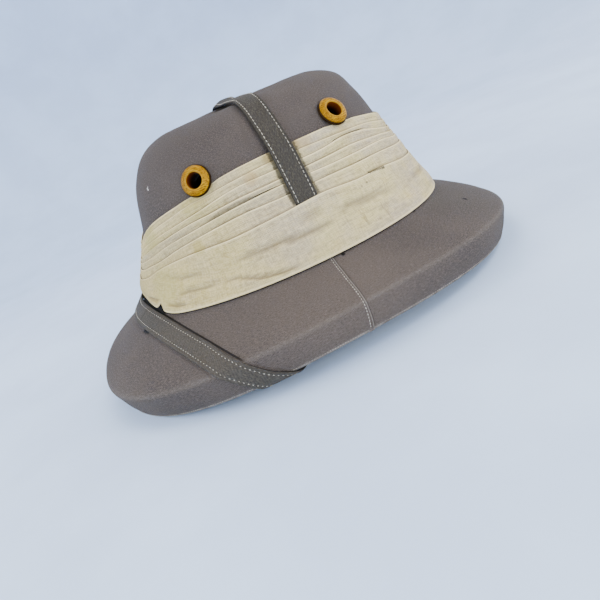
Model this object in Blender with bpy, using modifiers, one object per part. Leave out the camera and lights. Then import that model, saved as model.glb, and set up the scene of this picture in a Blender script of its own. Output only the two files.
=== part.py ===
"""Pith helmet of the wide-brimmed bush shape: moulded pith shell, pleated puggaree, crown strap,
chin strap and four turned wooden ventilators.

Metres, +Z up. The front of the hat is +X and the wearer's left is +Y. The hat stands on the front
and the back of its rim, with z = 0 under the rim and x = y = 0 in the middle of its length and width.
"""
import math

import bmesh
import bpy
import numpy as np
from mathutils import Matrix, Vector

# ------------------------------------------------------------------ driving dimensions
MM = 0.001
GAP = 0.0004                    # running gap between neighbouring pieces
SEGMENTS = 64                   # points round each section of the shell
STANDING_HALF_ANGLE = 13.0      # degrees each side of front and back where the rim lies flat

STRAP_WIDTH = 16.0 * MM         # both straps are folded from the same cloth
STRAP_THICKNESS = 1.6 * MM

# The outer skin, from the rim up to the middle of the top, in millimetres. A section is a full oval:
# half_length along x, half_width along y, its centre at centre_x. Its height is z_ends at the front
# and the back and z_sides at the sides, with back_lift added at the back and taken off at the front.
# A fullness of 2 is an ellipse, and more is squarer.
OUTER_SKIN = (
    # name, half_length, half_width, centre_x, z_ends, z_sides, back_lift, fullness
    ("foot",       161.5, 139.8, 0.0,   0.0,  12.0, 0.0, 2.35),
    ("edge_low",   164.2, 141.6, 0.0,   2.6,  14.6, 0.0, 2.35),
    ("edge_high",  170.6, 143.2, 0.0,  15.0,  27.0, 0.0, 2.35),
    ("crease",     172.4, 142.4, 0.0,  20.6,  32.4, 0.0, 2.35),
    ("brim_outer", 168.8, 138.8, 0.0,  25.2,  35.6, 0.9, 2.32),
    ("brim_mid",   149.0, 123.0, 2.6,  38.1,  45.0, 2.1, 2.20),
    ("band_foot",  127.0, 106.0, 4.6,  52.2,  55.0, 3.6, 2.05),
    ("wall_foot",  121.4, 100.2, 4.9,  59.8,  61.5, 3.2, 2.05),
    ("wall_mid",   109.2,  90.6, 4.9,  86.0,  95.0, 0.0, 2.15),
    ("band_top",   100.6,  81.2, 4.2, 109.5, 130.0, -5.5, 2.30),
    ("wall_high",   89.2,  70.6, 5.8, 141.0, 147.0, 0.0, 2.45),
    ("shoulder",    80.9,  60.6, 7.4, 154.4, 157.0, 0.0, 2.45),
    ("ridge_outer", 68.8,  49.4, 7.2, 161.7, 162.6, 0.0, 2.40),
    ("ridge",       55.0,  38.6, 8.0, 164.8, 164.8, 0.0, 2.30),
    ("dent_side",   42.0,  25.0, 7.0, 162.6, 162.6, 0.0, 2.10),
    ("dent_floor",  22.0,  12.0, 7.0, 159.0, 159.0, 0.0, 2.05),
    ("centre",       0.0,   0.0, 7.0, 158.2, 158.2, 0.0, 2.00),
)

# The underside of the brim and the inside of the crown, from the rim up, with the same columns.
INNER_SKIN = (
    # name, half_length, half_width, centre_x, z_ends, z_sides, back_lift, fullness
    ("foot",       155.5, 134.2, 0.0,   0.0,  12.0, 0.0, 2.35),
    ("lip",        149.0, 127.6, 0.4,   8.0,  18.6, 0.3, 2.32),
    ("underbrim",  131.0, 109.8, 3.0,  24.0,  31.0, 1.8, 2.20),
    ("headline",   112.8,  91.4, 5.0,  40.0,  43.6, 2.6, 2.08),
    ("wall_low",   108.4,  87.4, 5.1,  56.0,  58.0, 2.4, 2.04),
    ("wall_mid",   100.0,  80.4, 5.0,  84.0,  92.0, 0.0, 2.12),
    ("wall_high",   84.8,  67.6, 5.6, 125.0, 130.0, -2.0, 2.40),
    ("shoulder",    73.4,  54.0, 7.2, 148.0, 149.0, 0.0, 2.40),
    ("ceiling",     54.0,  37.0, 7.6, 155.0, 155.0, 0.0, 2.30),
    ("dent",        24.0,  14.0, 7.0, 150.4, 150.4, 0.0, 2.05),
    ("centre",       0.0,   0.0, 7.0, 149.4, 149.4, 0.0, 2.00),
)


class SmoothTable:
    """Cubic curves through the rows of a table, by the distance along it."""

    def __init__(self, values, points):
        steps = np.linalg.norm(np.diff(points, axis=0), axis=1)
        self.along = np.concatenate([[0.0], np.cumsum(steps)])
        self.values = values
        self.slope = np.gradient(values, self.along, axis=0)

    def at(self, distance):
        low = int(np.searchsorted(self.along, distance, side="right")) - 1
        low = min(max(low, 0), len(self.along) - 2)
        span = self.along[low + 1] - self.along[low]
        t = (distance - self.along[low]) / span
        return ((2 * t ** 3 - 3 * t ** 2 + 1) * self.values[low]
                + (t ** 3 - 2 * t ** 2 + t) * span * self.slope[low]
                + (3 * t ** 2 - 2 * t ** 3) * self.values[low + 1]
                + (t ** 3 - t ** 2) * span * self.slope[low + 1])


class Skin:
    """A smooth surface through the sections of a table.

    A place on it is an angle from the front, in degrees towards the wearer's left, and a height
    up the surface: millimetres from the rim, measured along the profile at the front.
    """

    def __init__(self, rows):
        values = np.array([row[1:] for row in rows])
        front_profile = np.stack([values[:, 0] + values[:, 2], values[:, 3]], axis=1)
        self.sections = SmoothTable(values, front_profile)
        self.up = {row[0]: float(d) for row, d in zip(rows, self.sections.along)}
        self.end = float(self.sections.along[-1])

    def point(self, angle, up):
        half_length, half_width, centre, z_ends, z_sides, back_lift, fullness = self.sections.at(up)
        c, s = math.cos(math.radians(angle)), math.sin(math.radians(angle))
        x = centre + half_length * math.copysign(abs(c) ** (2 / fullness), c)
        y = half_width * math.copysign(abs(s) ** (2 / fullness), s)
        z = z_ends + (z_sides - z_ends) * side_share(angle) - back_lift * c
        return Vector((x, y, z)) * MM

    def normal(self, angle, up):
        """The outward direction of the surface, from two short chords."""
        low, high = max(up - 1.0, 0.0), min(up + 1.0, self.end - 0.5)
        round_chord = self.point(angle + 0.7, up) - self.point(angle - 0.7, up)
        up_chord = self.point(angle, high) - self.point(angle, low)
        return round_chord.cross(up_chord).normalized()

    def offset(self, angle, up, distance):
        return self.point(angle, up) + self.normal(angle, up) * distance


def side_share(angle):
    """0 over the flat stretches of rim at front and back, rising to 1 at the sides."""
    from_end = math.degrees(math.asin(min(1.0, abs(math.sin(math.radians(angle))))))
    raised = max(0.0, from_end - STANDING_HALF_ANGLE) / (90.0 - STANDING_HALF_ANGLE)
    return math.sin(raised * math.pi / 2) ** 2


OUTER = Skin(OUTER_SKIN)
INNER = Skin(INNER_SKIN)

# ------------------------------------------------------------------ puggaree: the pleated band
# Below is one wide fold, above it are narrow pleats, each overlapping the one above, with its folded
# edge upwards. Heights up the skin are in mm, and angles are degrees from the front.
BAND_FOOT = OUTER.up["band_foot"]
BAND_SEAT = OUTER.up["wall_foot"] - 1.0
BAND_LIFT = 11.0                # how far the lower edge rises at the back, clear of the strap
LIFT_STARTS, LIFT_ENDS = 138.0, 165.0
FOLD_TOP = {"back": 96.0, "side": 109.4, "front": 109.5}    # the wide fold's upper edge

# The band's top edge dips at the middle of the back.
BAND_TOP = (
    # angle, height
    (-45.0, 141.0), (0.0, 139.6), (45.0, 141.0), (85.0, 138.2), (110.0, 141.8),
    (132.0, 147.0), (150.0, 148.6), (166.0, 144.4), (180.0, 137.4), (194.0, 144.4),
)
STEP = 0.6                      # height over which the surface steps in behind a folded edge

# How far up from the wide fold to the top edge each pleat's folded edge lies.
PLEATS = (
    # name, back, side, front
    ("lowest", 0.15, 0.27, 0.25),
    ("second", 0.25, 0.46, 0.43),
    ("third",  0.41, 0.62, 0.59),
    ("fourth", 0.55, 0.79, 0.77),
    ("upper",  0.78, 0.92, 0.91),
)
TOP_PLEAT_THICKNESS = 2.2 * MM
PLEAT_GROWTH = 0.3 * MM         # each lower pleat lies on the one above
PLEAT_RELIEF = 0.7 * MM         # how far a pleat sinks before the next edge

# The wide fold's section, from its lower edge (0) to its upper edge (1), with thickness in mm at
# the sides. The cloth is drawn tighter round the front and the back.
FOLD_SECTION = ((0.0, 0.2), (0.13, 4.2), (0.3, 5.5), (0.6, 6.2), (1.0, 6.0))
FOLD_FULLNESS = {"back": 0.75, "side": 1.0, "front": 0.62}


def blend_round(angle, back, side, front):
    """A value that changes smoothly from back to side to front."""
    c = math.cos(math.radians(angle))
    return side + (front - side) * max(0.0, c) ** 2 + (back - side) * max(0.0, -c) ** 2


def ramp(value, start, end):
    t = min(1.0, max(0.0, (value - start) / (end - start)))
    return t * t * (3 - 2 * t)


BAND_TOP_EDGE = SmoothTable(np.array(BAND_TOP), np.array(BAND_TOP)[:, :1])


def band_section(angle):
    """Heights and thicknesses of the band's outer face, from its lower edge to its top edge."""
    from_front = abs((angle + 180.0) % 360.0 - 180.0)
    top = float(BAND_TOP_EDGE.at(from_front - BAND_TOP[0][0])[1])
    bottom = BAND_FOOT + BAND_LIFT * ramp(from_front, LIFT_STARTS, LIFT_ENDS)
    fold_top = blend_round(angle, **FOLD_TOP)
    full = blend_round(angle, **FOLD_FULLNESS) * MM
    rows = [(bottom + (fold_top - bottom) * share, thickness * full) for share, thickness in FOLD_SECTION]
    edges = [fold_top + (top - fold_top) * blend_round(angle, *pleat[1:]) for pleat in PLEATS]
    starts = [fold_top] + edges
    ends = edges + [top]
    for count, (start, end) in enumerate(zip(starts, ends)):
        above = len(PLEATS) - count
        crest = TOP_PLEAT_THICKNESS + PLEAT_GROWTH * above
        rows.append((start + STEP, crest - PLEAT_RELIEF))
        rows.append((end, crest))
    return rows


def band_thickness(angle, up):
    """Thickness of the band at a height up the skin, nothing above its top edge."""
    rows = band_section(angle)
    if up > rows[-1][0]:
        return 0.0
    return float(np.interp(up, [row[0] for row in rows], [row[1] for row in rows]))


# ------------------------------------------------------------------ chin strap
# One half of the strap's route, from the middle of the back, over the brim and round its edge to
# the place inside the crown where it is sewn. Each row crosses the strap from its near edge, towards
# the front, to its far edge. Angles are degrees from the front. A reach is a distance in mm from the
# rim's outer corner: up the outer skin where it is positive, then across the flat rim and up the
# inner skin where it is negative. A lift is the gap in mm to the skin.
CHIN_STRAP = (
    # name, near_angle, near_reach, near_lift, far_angle, far_reach, far_lift
    ("back",       180.0,  82.3, 1.5, 180.0,  66.8, 0.8),
    ("back_turn",  165.0,  80.8, 1.3, 167.0,  65.8, 0.8),
    ("leaving",    152.0,  76.2, 1.0, 154.8,  63.2, 0.8),
    ("on_brim",    141.0,  67.6, 0.8, 144.0,  56.9, 0.8),
    ("mid_brim",   130.0,  55.6, 0.8, 133.0,  45.5, 0.8),
    ("outer_brim", 120.6,  41.6, 0.8, 124.9,  33.8, 0.8),
    ("crease",     112.4,  24.0, 0.9, 120.2,  24.0, 0.9),
    ("edge_face",  108.6,  12.0, 0.9, 116.4,  12.0, 0.9),
    ("rim",        105.0,   0.0, 1.0, 112.8,   0.0, 1.0),
    ("under_rim",  103.0,  -6.0, 1.0, 110.8,  -6.0, 1.0),
    ("underbrim",   97.6, -29.0, 0.9, 105.4, -29.0, 0.9),
    ("headline",    92.2, -61.0, 0.9, 100.8, -61.0, 0.9),
    ("sewn_end",    91.0, -80.0, 0.8,  99.6, -80.0, 0.8),
)
CHIN_STRAP_STEPS = 4            # rungs between two rows of the table
CORNER = 3.0                    # mm of reach over which a lifted strap rounds a corner of the rim
RIM_WIDTH = (OUTER.point(0, 0) - INNER.point(0, 0)).length / MM


def brim_side(angle, reach):
    """Point and outward normal on the outer skin, the rim or the inner skin."""
    if reach >= 0.0:
        return OUTER.point(angle, reach), OUTER.normal(angle, reach)
    if reach > -RIM_WIDTH:
        across = OUTER.point(angle, 0.0).lerp(INNER.point(angle, 0.0), -reach / RIM_WIDTH)
        return across, Vector((0, 0, -1))
    return INNER.point(angle, -reach - RIM_WIDTH), -INNER.normal(angle, -reach - RIM_WIDTH)


def brim_offset(angle, reach, distance):
    """A point at a distance from the brim, with the normal smoothed over the corners of the rim."""
    point = brim_side(angle, reach)[0]
    around = [brim_side(angle, reach + CORNER * step)[1] for step in (-1.0, -0.5, 0.0, 0.5, 1.0)]
    return point + sum(around, Vector()).normalized() * distance


def chin_strap_rungs():
    """Rows of points across the strap, from the right-hand sewn end round the back to the left."""
    values = np.array([row[1:] for row in CHIN_STRAP])
    middles = [(brim_side(row[0], row[1])[0] + brim_side(row[3], row[4])[0]) / 2 for row in values]
    route = SmoothTable(values, np.array(middles))
    half = []
    for low, high in zip(route.along, route.along[1:]):
        half += [route.at(low + (high - low) * step / CHIN_STRAP_STEPS)
                 for step in range(CHIN_STRAP_STEPS)]
    half.append(values[-1])
    rungs = []
    for side, rows in ((-1, half[::-1]), (1, half[1:])):
        for near_angle, near_reach, near_lift, far_angle, far_reach, far_lift in rows:
            near = brim_offset(side * near_angle, near_reach, near_lift * MM)
            far = brim_offset(side * far_angle, far_reach, far_lift * MM)
            rungs.append([near, near.lerp(far, 0.5), far])
    return rungs


# ------------------------------------------------------------------ crown strap
CROWN_STRAP_X = 8.0 * MM        # the strap crosses the crown a little in front of the middle
CROWN_STRAP_LIFT = 0.9 * MM     # a taut strap rides on the pleats' highest places
CROWN_STRAP_COLUMNS = 3
CROWN_STRAP_RUNGS = 49


def angle_at_x(x, up):
    """Angle on the left side where the skin at this height has this x, by halving."""
    low, high = 0.0, 180.0
    for _ in range(40):
        middle = (low + high) / 2
        if OUTER.point(middle, up).x > x:
            low = middle
        else:
            high = middle
    return (low + high) / 2


def crown_strap_line(x):
    """The taut line over the crown and the pleats in the plane of this x, from right to left."""
    half = []
    for up in np.linspace(FOLD_TOP["side"] + 2 * STEP, OUTER.up["dent_floor"], 160):
        angle = angle_at_x(x, up)
        seat = OUTER.offset(angle, up, band_thickness(angle, up) + CROWN_STRAP_LIFT)
        half.append((seat.y, seat.z))
    outline = sorted({(-y, z) for y, z in half} | set(half))
    hull = []
    for point in outline:
        while len(hull) > 1 and turn(hull[-2], hull[-1], point) >= 0:
            hull.pop()
        hull.append(point)
    return even_spacing([Vector((x, y, z)) for y, z in hull], CROWN_STRAP_RUNGS)


def turn(a, b, c):
    """Positive where a to b to c turns left."""
    return (b[0] - a[0]) * (c[1] - a[1]) - (b[1] - a[1]) * (c[0] - a[0])


def even_spacing(points, count):
    """The same polyline with points at equal distances along it."""
    lengths = [(b - a).length for a, b in zip(points, points[1:])]
    along = np.concatenate([[0.0], np.cumsum(lengths)])
    marks = np.linspace(0.0, along[-1], count)
    return [Vector([float(np.interp(mark, along, [p[axis] for p in points])) for axis in range(3)])
            for mark in marks]


# ------------------------------------------------------------------ ventilators
# Where each pair sits: x, mm up the skin, and how far its axis tilts up from the wall's normal.
VENTS = (
    # end, x, height, tilt
    ("front", 53.3 * MM, 149.8, 7.0),
    ("back", -48.4 * MM, 152.8, 4.0),
)
VENT_HOLE_RADIUS = 5.25 * MM
VENT_BARREL_RADIUS = 6.8 * MM
VENT_FLANGE_RADIUS = 10.8 * MM
VENT_DEPTH = 10.5 * MM
VENT_SEAT = 0.6 * MM            # the flat flange stands this far off the middle of the curved wall
VENT_SIDES = 20

# The flange's outline above its seat, from the hole's lip outwards: radius and height in mm.
FLANGE = ((5.25, 3.8), (5.9, 4.4), (7.1, 4.2), (9.2, 2.9), (10.5, 1.3), (10.8, 0.0))


# ------------------------------------------------------------------ making the pieces
def principled(name, colour, roughness):
    material = bpy.data.materials.new(name)
    material.use_nodes = True
    shader = material.node_tree.nodes["Principled BSDF"]
    shader.inputs["Base Color"].default_value = (*colour, 1.0)
    shader.inputs["Roughness"].default_value = roughness
    shader.inputs["Metallic"].default_value = 0.0
    material.diffuse_color = (*colour, 1.0)
    return material


def add_object(name, bm, collection, material=None, smooth_degrees=35.0):
    mesh = bpy.data.meshes.new(name)
    bm.to_mesh(mesh)
    bm.free()
    mesh.shade_smooth()
    mesh.set_sharp_from_angle(angle=math.radians(smooth_degrees))
    obj = bpy.data.objects.new(name, mesh)
    if material:
        mesh.materials.append(material)
    collection.objects.link(obj)
    return obj


def loft(bm, sections, closed):
    """Quads between neighbouring rings; closed joins the last ring to the first."""
    rings = [[bm.verts.new(point) for point in section] for section in sections]
    pairs = list(zip(rings, rings[1:])) + ([(rings[-1], rings[0])] if closed else [])
    for lower, upper in pairs:
        for i in range(len(lower)):
            j = (i + 1) % len(lower)
            bm.faces.new((lower[i], lower[j], upper[j], upper[i]))
    return rings


def close_with_pole(bm, ring, pole):
    centre = bm.verts.new(pole)
    for i in range(len(ring)):
        bm.faces.new((ring[i], ring[(i + 1) % len(ring)], centre))


def even_angles(count):
    return [360.0 * i / count for i in range(count)]


def make_shell(collection, material):
    """Crown and brim are one moulded body of pith: outer and inner skin meet at the flat rim."""
    outer_heights = (0, 3.7, 10, 17, 21, 24, 28, 40, 51, 62, 74, 80, 86, 98, 118, 140,
                     158, 172, 181, 188, 196, 204, 214, 230, 250)
    inner_heights = (220, 196, 186, 174, 157, 130, 100, 72, 60, 50, 32, 10, 0)
    angles = even_angles(SEGMENTS)
    bm = bmesh.new()
    rings = loft(bm, [[INNER.point(angle, up) for angle in angles] for up in inner_heights]
                 + [[OUTER.point(angle, up) for angle in angles] for up in outer_heights],
                 closed=False)
    close_with_pole(bm, rings[0], INNER.point(0, INNER.end))
    close_with_pole(bm, rings[-1], OUTER.point(0, OUTER.end))
    bmesh.ops.recalc_face_normals(bm, faces=bm.faces)
    return add_object("pith_shell", bm, collection, material)


def make_puggaree(collection, material):
    """The band's section is swept round the crown: up its seat on the wall and down its pleats."""
    columns = []
    for angle in even_angles(SEGMENTS):
        section = band_section(angle)
        outer = [OUTER.offset(angle, up, GAP + thickness) for up, thickness in section]
        low, top = max(BAND_SEAT, section[0][0] + 3.0), section[-1][0]
        seat = [OUTER.offset(angle, low + (top - low) * share, GAP)
                for share in (0.0, 0.25, 0.5, 0.75, 1.0)]
        columns.append(outer + seat[::-1])
    bm = bmesh.new()
    loft(bm, list(zip(*columns)), closed=True)
    bmesh.ops.recalc_face_normals(bm, faces=bm.faces)
    return add_object("puggaree", bm, collection, material, smooth_degrees=50.0)


def make_ribbon(name, rungs, collection, material):
    """An open strip through rows of points, thickened away from the hat by Solidify."""
    bm = bmesh.new()
    rows = [[bm.verts.new(point) for point in rung] for rung in rungs]
    for lower, upper in zip(rows, rows[1:]):
        for i in range(len(lower) - 1):
            bm.faces.new((lower[i], lower[i + 1], upper[i + 1], upper[i]))
    bmesh.ops.recalc_face_normals(bm, faces=bm.faces)
    middle = bm.faces[:][len(bm.faces) // 2]
    if middle.normal.dot(middle.calc_center_median() - Vector((0, 0, 50 * MM))) < 0:
        bmesh.ops.reverse_faces(bm, faces=bm.faces)
    strap = add_object(name, bm, collection, material)
    wall = strap.modifiers.new("cloth", "SOLIDIFY")
    wall.thickness = STRAP_THICKNESS
    wall.offset = 1.0
    wall.use_even_offset = True
    return strap


def vent_places():
    """Name, seat and outward direction of each ventilator."""
    places = []
    for end, x, up, tilt in VENTS:
        angle = angle_at_x(x, up)
        for side, sign in (("left", 1), ("right", -1)):
            normal = OUTER.normal(sign * angle, up)
            level = Vector((0, 0, 1)).cross(normal)
            normal = Matrix.Rotation(math.radians(-tilt), 3, level) @ normal
            places.append((f"ventilator_{end}_{side}", OUTER.point(sign * angle, up), normal))
    return places


def along_normal(point, normal, distance):
    """A placement with its z axis along the normal, at a distance from the point."""
    turned = normal.to_track_quat("Z", "Y").to_matrix().to_4x4()
    return Matrix.Translation(point + normal * distance) @ turned


def make_ventilator(name, point, normal, collection, material):
    """A turned eyelet: the profile runs down the outer side and back up the hole."""
    profile = [(radius * MM, height * MM) for radius, height in FLANGE]
    profile += [(VENT_BARREL_RADIUS, 0.0), (VENT_BARREL_RADIUS, -VENT_DEPTH),
                (VENT_HOLE_RADIUS, -VENT_DEPTH)]
    bm = bmesh.new()
    verts = [bm.verts.new((radius, 0.0, height)) for radius, height in profile]
    for i in range(len(verts)):
        bm.edges.new((verts[i], verts[(i + 1) % len(verts)]))
    vent = add_object(name, bm, collection, material, smooth_degrees=40.0)
    vent.matrix_world = along_normal(point, normal, VENT_SEAT)
    turn_round = vent.modifiers.new("turned", "SCREW")
    turn_round.angle = 2 * math.pi
    turn_round.steps = turn_round.render_steps = VENT_SIDES
    turn_round.use_merge_vertices = True
    turn_round.merge_threshold = 0.00005
    turn_round.use_smooth_shade = True
    return vent


def make_cutter(name, point, normal, radius, reach, collection):
    """A drill along the normal, from reach[0] below the surface to reach[1] above it."""
    bpy.ops.mesh.primitive_cylinder_add(vertices=VENT_SIDES, radius=radius, depth=sum(reach))
    cutter = bpy.context.object
    cutter.name = name
    cutter.matrix_world = along_normal(point, normal, (reach[1] - reach[0]) / 2)
    for other in cutter.users_collection:
        other.objects.unlink(cutter)
    collection.objects.link(cutter)
    cutter.hide_render = True
    cutter.display_type = "WIRE"
    return cutter


def cut(obj, cutter):
    bore = obj.modifiers.new(cutter.name, "BOOLEAN")
    bore.operation = "DIFFERENCE"
    bore.object = cutter


def main():
    for old in list(bpy.data.objects):
        bpy.data.objects.remove(old, do_unlink=True)
    hat = bpy.data.collections.new("pith_helmet")
    cutters = bpy.data.collections.new("cutters")
    for collection in (hat, cutters):
        bpy.context.scene.collection.children.link(collection)

    drill_cloth = principled("grey_brown_cotton_drill", (0.171, 0.150, 0.137), 0.9)
    pleated_cotton = principled("cream_puggaree_cotton", (0.624, 0.571, 0.413), 0.92)
    strap_cloth = principled("strap_cotton_drill", (0.117, 0.113, 0.100), 0.9)
    wood = principled("amber_turned_wood", (0.584, 0.292, 0.035), 0.45)

    shell = make_shell(hat, drill_cloth)
    puggaree = make_puggaree(hat, pleated_cotton)
    half = STRAP_WIDTH / 2
    lines = [crown_strap_line(CROWN_STRAP_X + offset)
             for offset in np.linspace(-half, half, CROWN_STRAP_COLUMNS)]
    make_ribbon("crown_strap", [list(rung) for rung in zip(*lines)], hat, strap_cloth)
    make_ribbon("chin_strap", chin_strap_rungs(), hat, strap_cloth)

    for name, point, normal in vent_places():
        make_ventilator(name, point, normal, hat, wood)
        hole = make_cutter(name + "_hole", point, normal, VENT_BARREL_RADIUS + GAP,
                           (VENT_DEPTH + 8 * MM, 8 * MM), cutters)
        cut(shell, hole)
        notch = make_cutter(name + "_notch", point, normal, VENT_FLANGE_RADIUS + GAP,
                            (6 * MM, 12 * MM), cutters)
        cut(puggaree, notch)


main()
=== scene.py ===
# %% [markdown]
# # A pith helmet in cotton drill
#
# A pith helmet is a light shell, moulded from pith or cork and covered in cotton drill. A pleated
# band of muslin, the puggaree, goes round the crown, and two straps of folded drill cross it. The
# CAD part gives the true hollow form. This lesson lays the cloth, pleats, stitches and turned
# wood over it, in the same frame and to the same dimensions.

# %% Load the CAD frame and keep its box
import math

import bpy
import numpy as np
from mathutils import Matrix, Vector


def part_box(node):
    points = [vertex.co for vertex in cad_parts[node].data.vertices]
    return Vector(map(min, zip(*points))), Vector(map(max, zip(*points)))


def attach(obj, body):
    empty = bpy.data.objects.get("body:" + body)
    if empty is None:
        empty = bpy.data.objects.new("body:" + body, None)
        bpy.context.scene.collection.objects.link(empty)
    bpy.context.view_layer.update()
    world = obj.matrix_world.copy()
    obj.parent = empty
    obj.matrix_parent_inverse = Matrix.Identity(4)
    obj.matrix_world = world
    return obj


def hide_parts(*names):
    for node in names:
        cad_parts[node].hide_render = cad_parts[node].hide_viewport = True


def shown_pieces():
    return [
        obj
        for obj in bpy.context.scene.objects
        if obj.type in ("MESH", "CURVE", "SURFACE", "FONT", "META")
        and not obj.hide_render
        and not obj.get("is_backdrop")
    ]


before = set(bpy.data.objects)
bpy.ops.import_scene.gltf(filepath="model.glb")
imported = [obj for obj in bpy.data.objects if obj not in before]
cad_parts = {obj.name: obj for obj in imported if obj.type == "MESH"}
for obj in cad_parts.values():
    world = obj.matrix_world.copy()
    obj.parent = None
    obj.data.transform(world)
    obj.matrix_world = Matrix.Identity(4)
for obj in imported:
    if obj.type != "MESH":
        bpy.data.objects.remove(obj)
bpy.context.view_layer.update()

MM = 0.001

# %% [markdown]
# ## The form of the shell
#
# The moulder's block has no flat places, so the shell is described by level ovals, one below the
# other, with smooth curves through them. It could be drawn as a subdivision cage, but a table of
# ovals can be checked against a ruler, and it lets every other piece be placed by an angle round
# the hat and a height up its surface.

# %% Smooth curves through a short table
class SmoothTable:
    """Cubic curves through the rows of a table, by the distance along it."""

    def __init__(self, values, along):
        self.values = np.asarray(values, float)
        self.along = np.asarray(along, float)
        self.slope = np.gradient(self.values, self.along, axis=0)

    def at(self, distance):
        distance = np.asarray(distance, float)
        low = np.searchsorted(self.along, distance, side="right") - 1
        low = np.clip(low, 0, len(self.along) - 2)
        span = self.along[low + 1] - self.along[low]
        t = ((distance - self.along[low]) / span)[..., None]
        span = span[..., None]
        return ((2 * t ** 3 - 3 * t ** 2 + 1) * self.values[low]
                + (t ** 3 - 2 * t ** 2 + t) * span * self.slope[low]
                + (3 * t ** 2 - 2 * t ** 3) * self.values[low + 1]
                + (t ** 3 - t ** 2) * span * self.slope[low + 1])


def unit(vectors):
    return vectors / np.maximum(np.linalg.norm(vectors, axis=-1, keepdims=True), 1e-12)


def running_length(points):
    """How far along its line each point lies."""
    return np.concatenate([[0.0], np.cumsum(np.linalg.norm(np.diff(points, axis=0), axis=1))])


print("a line of steps 3 and 4 long has its points at",
      running_length(np.array([[0.0, 0.0], [3.0, 0.0], [3.0, 4.0]])))

# %% The outer and inner skin of the shell
# half_length, half_width, centre_x, z_ends, z_sides, back_lift, fullness (2 is an ellipse), in mm
OUTER_SKIN = {
    "foot":        (161.5, 139.8, 0.0,   0.0,  12.0, 0.0, 2.35),
    "edge_low":    (164.2, 141.6, 0.0,   2.6,  14.6, 0.0, 2.35),
    "edge_high":   (170.6, 143.2, 0.0,  15.0,  27.0, 0.0, 2.35),
    "crease":      (172.4, 142.4, 0.0,  20.6,  32.4, 0.0, 2.35),
    "brim_outer":  (168.8, 138.8, 0.0,  25.2,  35.6, 0.9, 2.32),
    "brim_mid":    (149.0, 123.0, 2.6,  38.1,  45.0, 2.1, 2.20),
    "band_foot":   (127.0, 106.0, 4.6,  52.2,  55.0, 3.6, 2.05),
    "wall_foot":   (121.4, 100.2, 4.9,  59.8,  61.5, 3.2, 2.05),
    "wall_mid":    (109.2,  90.6, 4.9,  86.0,  95.0, 0.0, 2.15),
    "band_top":    (100.6,  81.2, 4.2, 109.5, 130.0, -5.5, 2.30),
    "wall_high":   (89.2,   70.6, 5.8, 141.0, 147.0, 0.0, 2.45),
    "shoulder":    (80.9,   60.6, 7.4, 154.4, 157.0, 0.0, 2.45),
    "ridge_outer": (68.8,   49.4, 7.2, 161.7, 162.6, 0.0, 2.40),
    "ridge":       (55.0,   38.6, 8.0, 164.8, 164.8, 0.0, 2.30),
    "dent_side":   (42.0,   25.0, 7.0, 162.6, 162.6, 0.0, 2.10),
    "dent_floor":  (22.0,   12.0, 7.0, 159.0, 159.0, 0.0, 2.05),
    "centre":      (0.0,     0.0, 7.0, 158.2, 158.2, 0.0, 2.00),
}
INNER_SKIN = {
    "foot":      (155.5, 134.2, 0.0,   0.0,  12.0, 0.0, 2.35),
    "lip":       (149.0, 127.6, 0.4,   8.0,  18.6, 0.3, 2.32),
    "underbrim": (131.0, 109.8, 3.0,  24.0,  31.0, 1.8, 2.20),
    "headline":  (112.8,  91.4, 5.0,  40.0,  43.6, 2.6, 2.08),
    "wall_low":  (108.4,  87.4, 5.1,  56.0,  58.0, 2.4, 2.04),
    "wall_mid":  (100.0,  80.4, 5.0,  84.0,  92.0, 0.0, 2.12),
    "wall_high": (84.8,   67.6, 5.6, 125.0, 130.0, -2.0, 2.40),
    "shoulder":  (73.4,   54.0, 7.2, 148.0, 149.0, 0.0, 2.40),
    "ceiling":   (54.0,   37.0, 7.6, 155.0, 155.0, 0.0, 2.30),
    "dent":      (24.0,   14.0, 7.0, 150.4, 150.4, 0.0, 2.05),
    "centre":    (0.0,     0.0, 7.0, 149.4, 149.4, 0.0, 2.00),
}
print("ovals:", len(OUTER_SKIN), "outside and", len(INNER_SKIN), "inside")

# %% Any place on a skin, by an angle and a height
STANDING_HALF_ANGLE = 13.0      # degrees each side of front and back where the rim lies flat


def side_share(angle):
    """0 over the flat stretches of rim at front and back, rising to 1 at the sides."""
    from_end = np.degrees(np.arcsin(np.minimum(1.0, np.abs(np.sin(np.radians(angle))))))
    raised = np.maximum(0.0, from_end - STANDING_HALF_ANGLE) / (90.0 - STANDING_HALF_ANGLE)
    return np.sin(raised * np.pi / 2) ** 2


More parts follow.
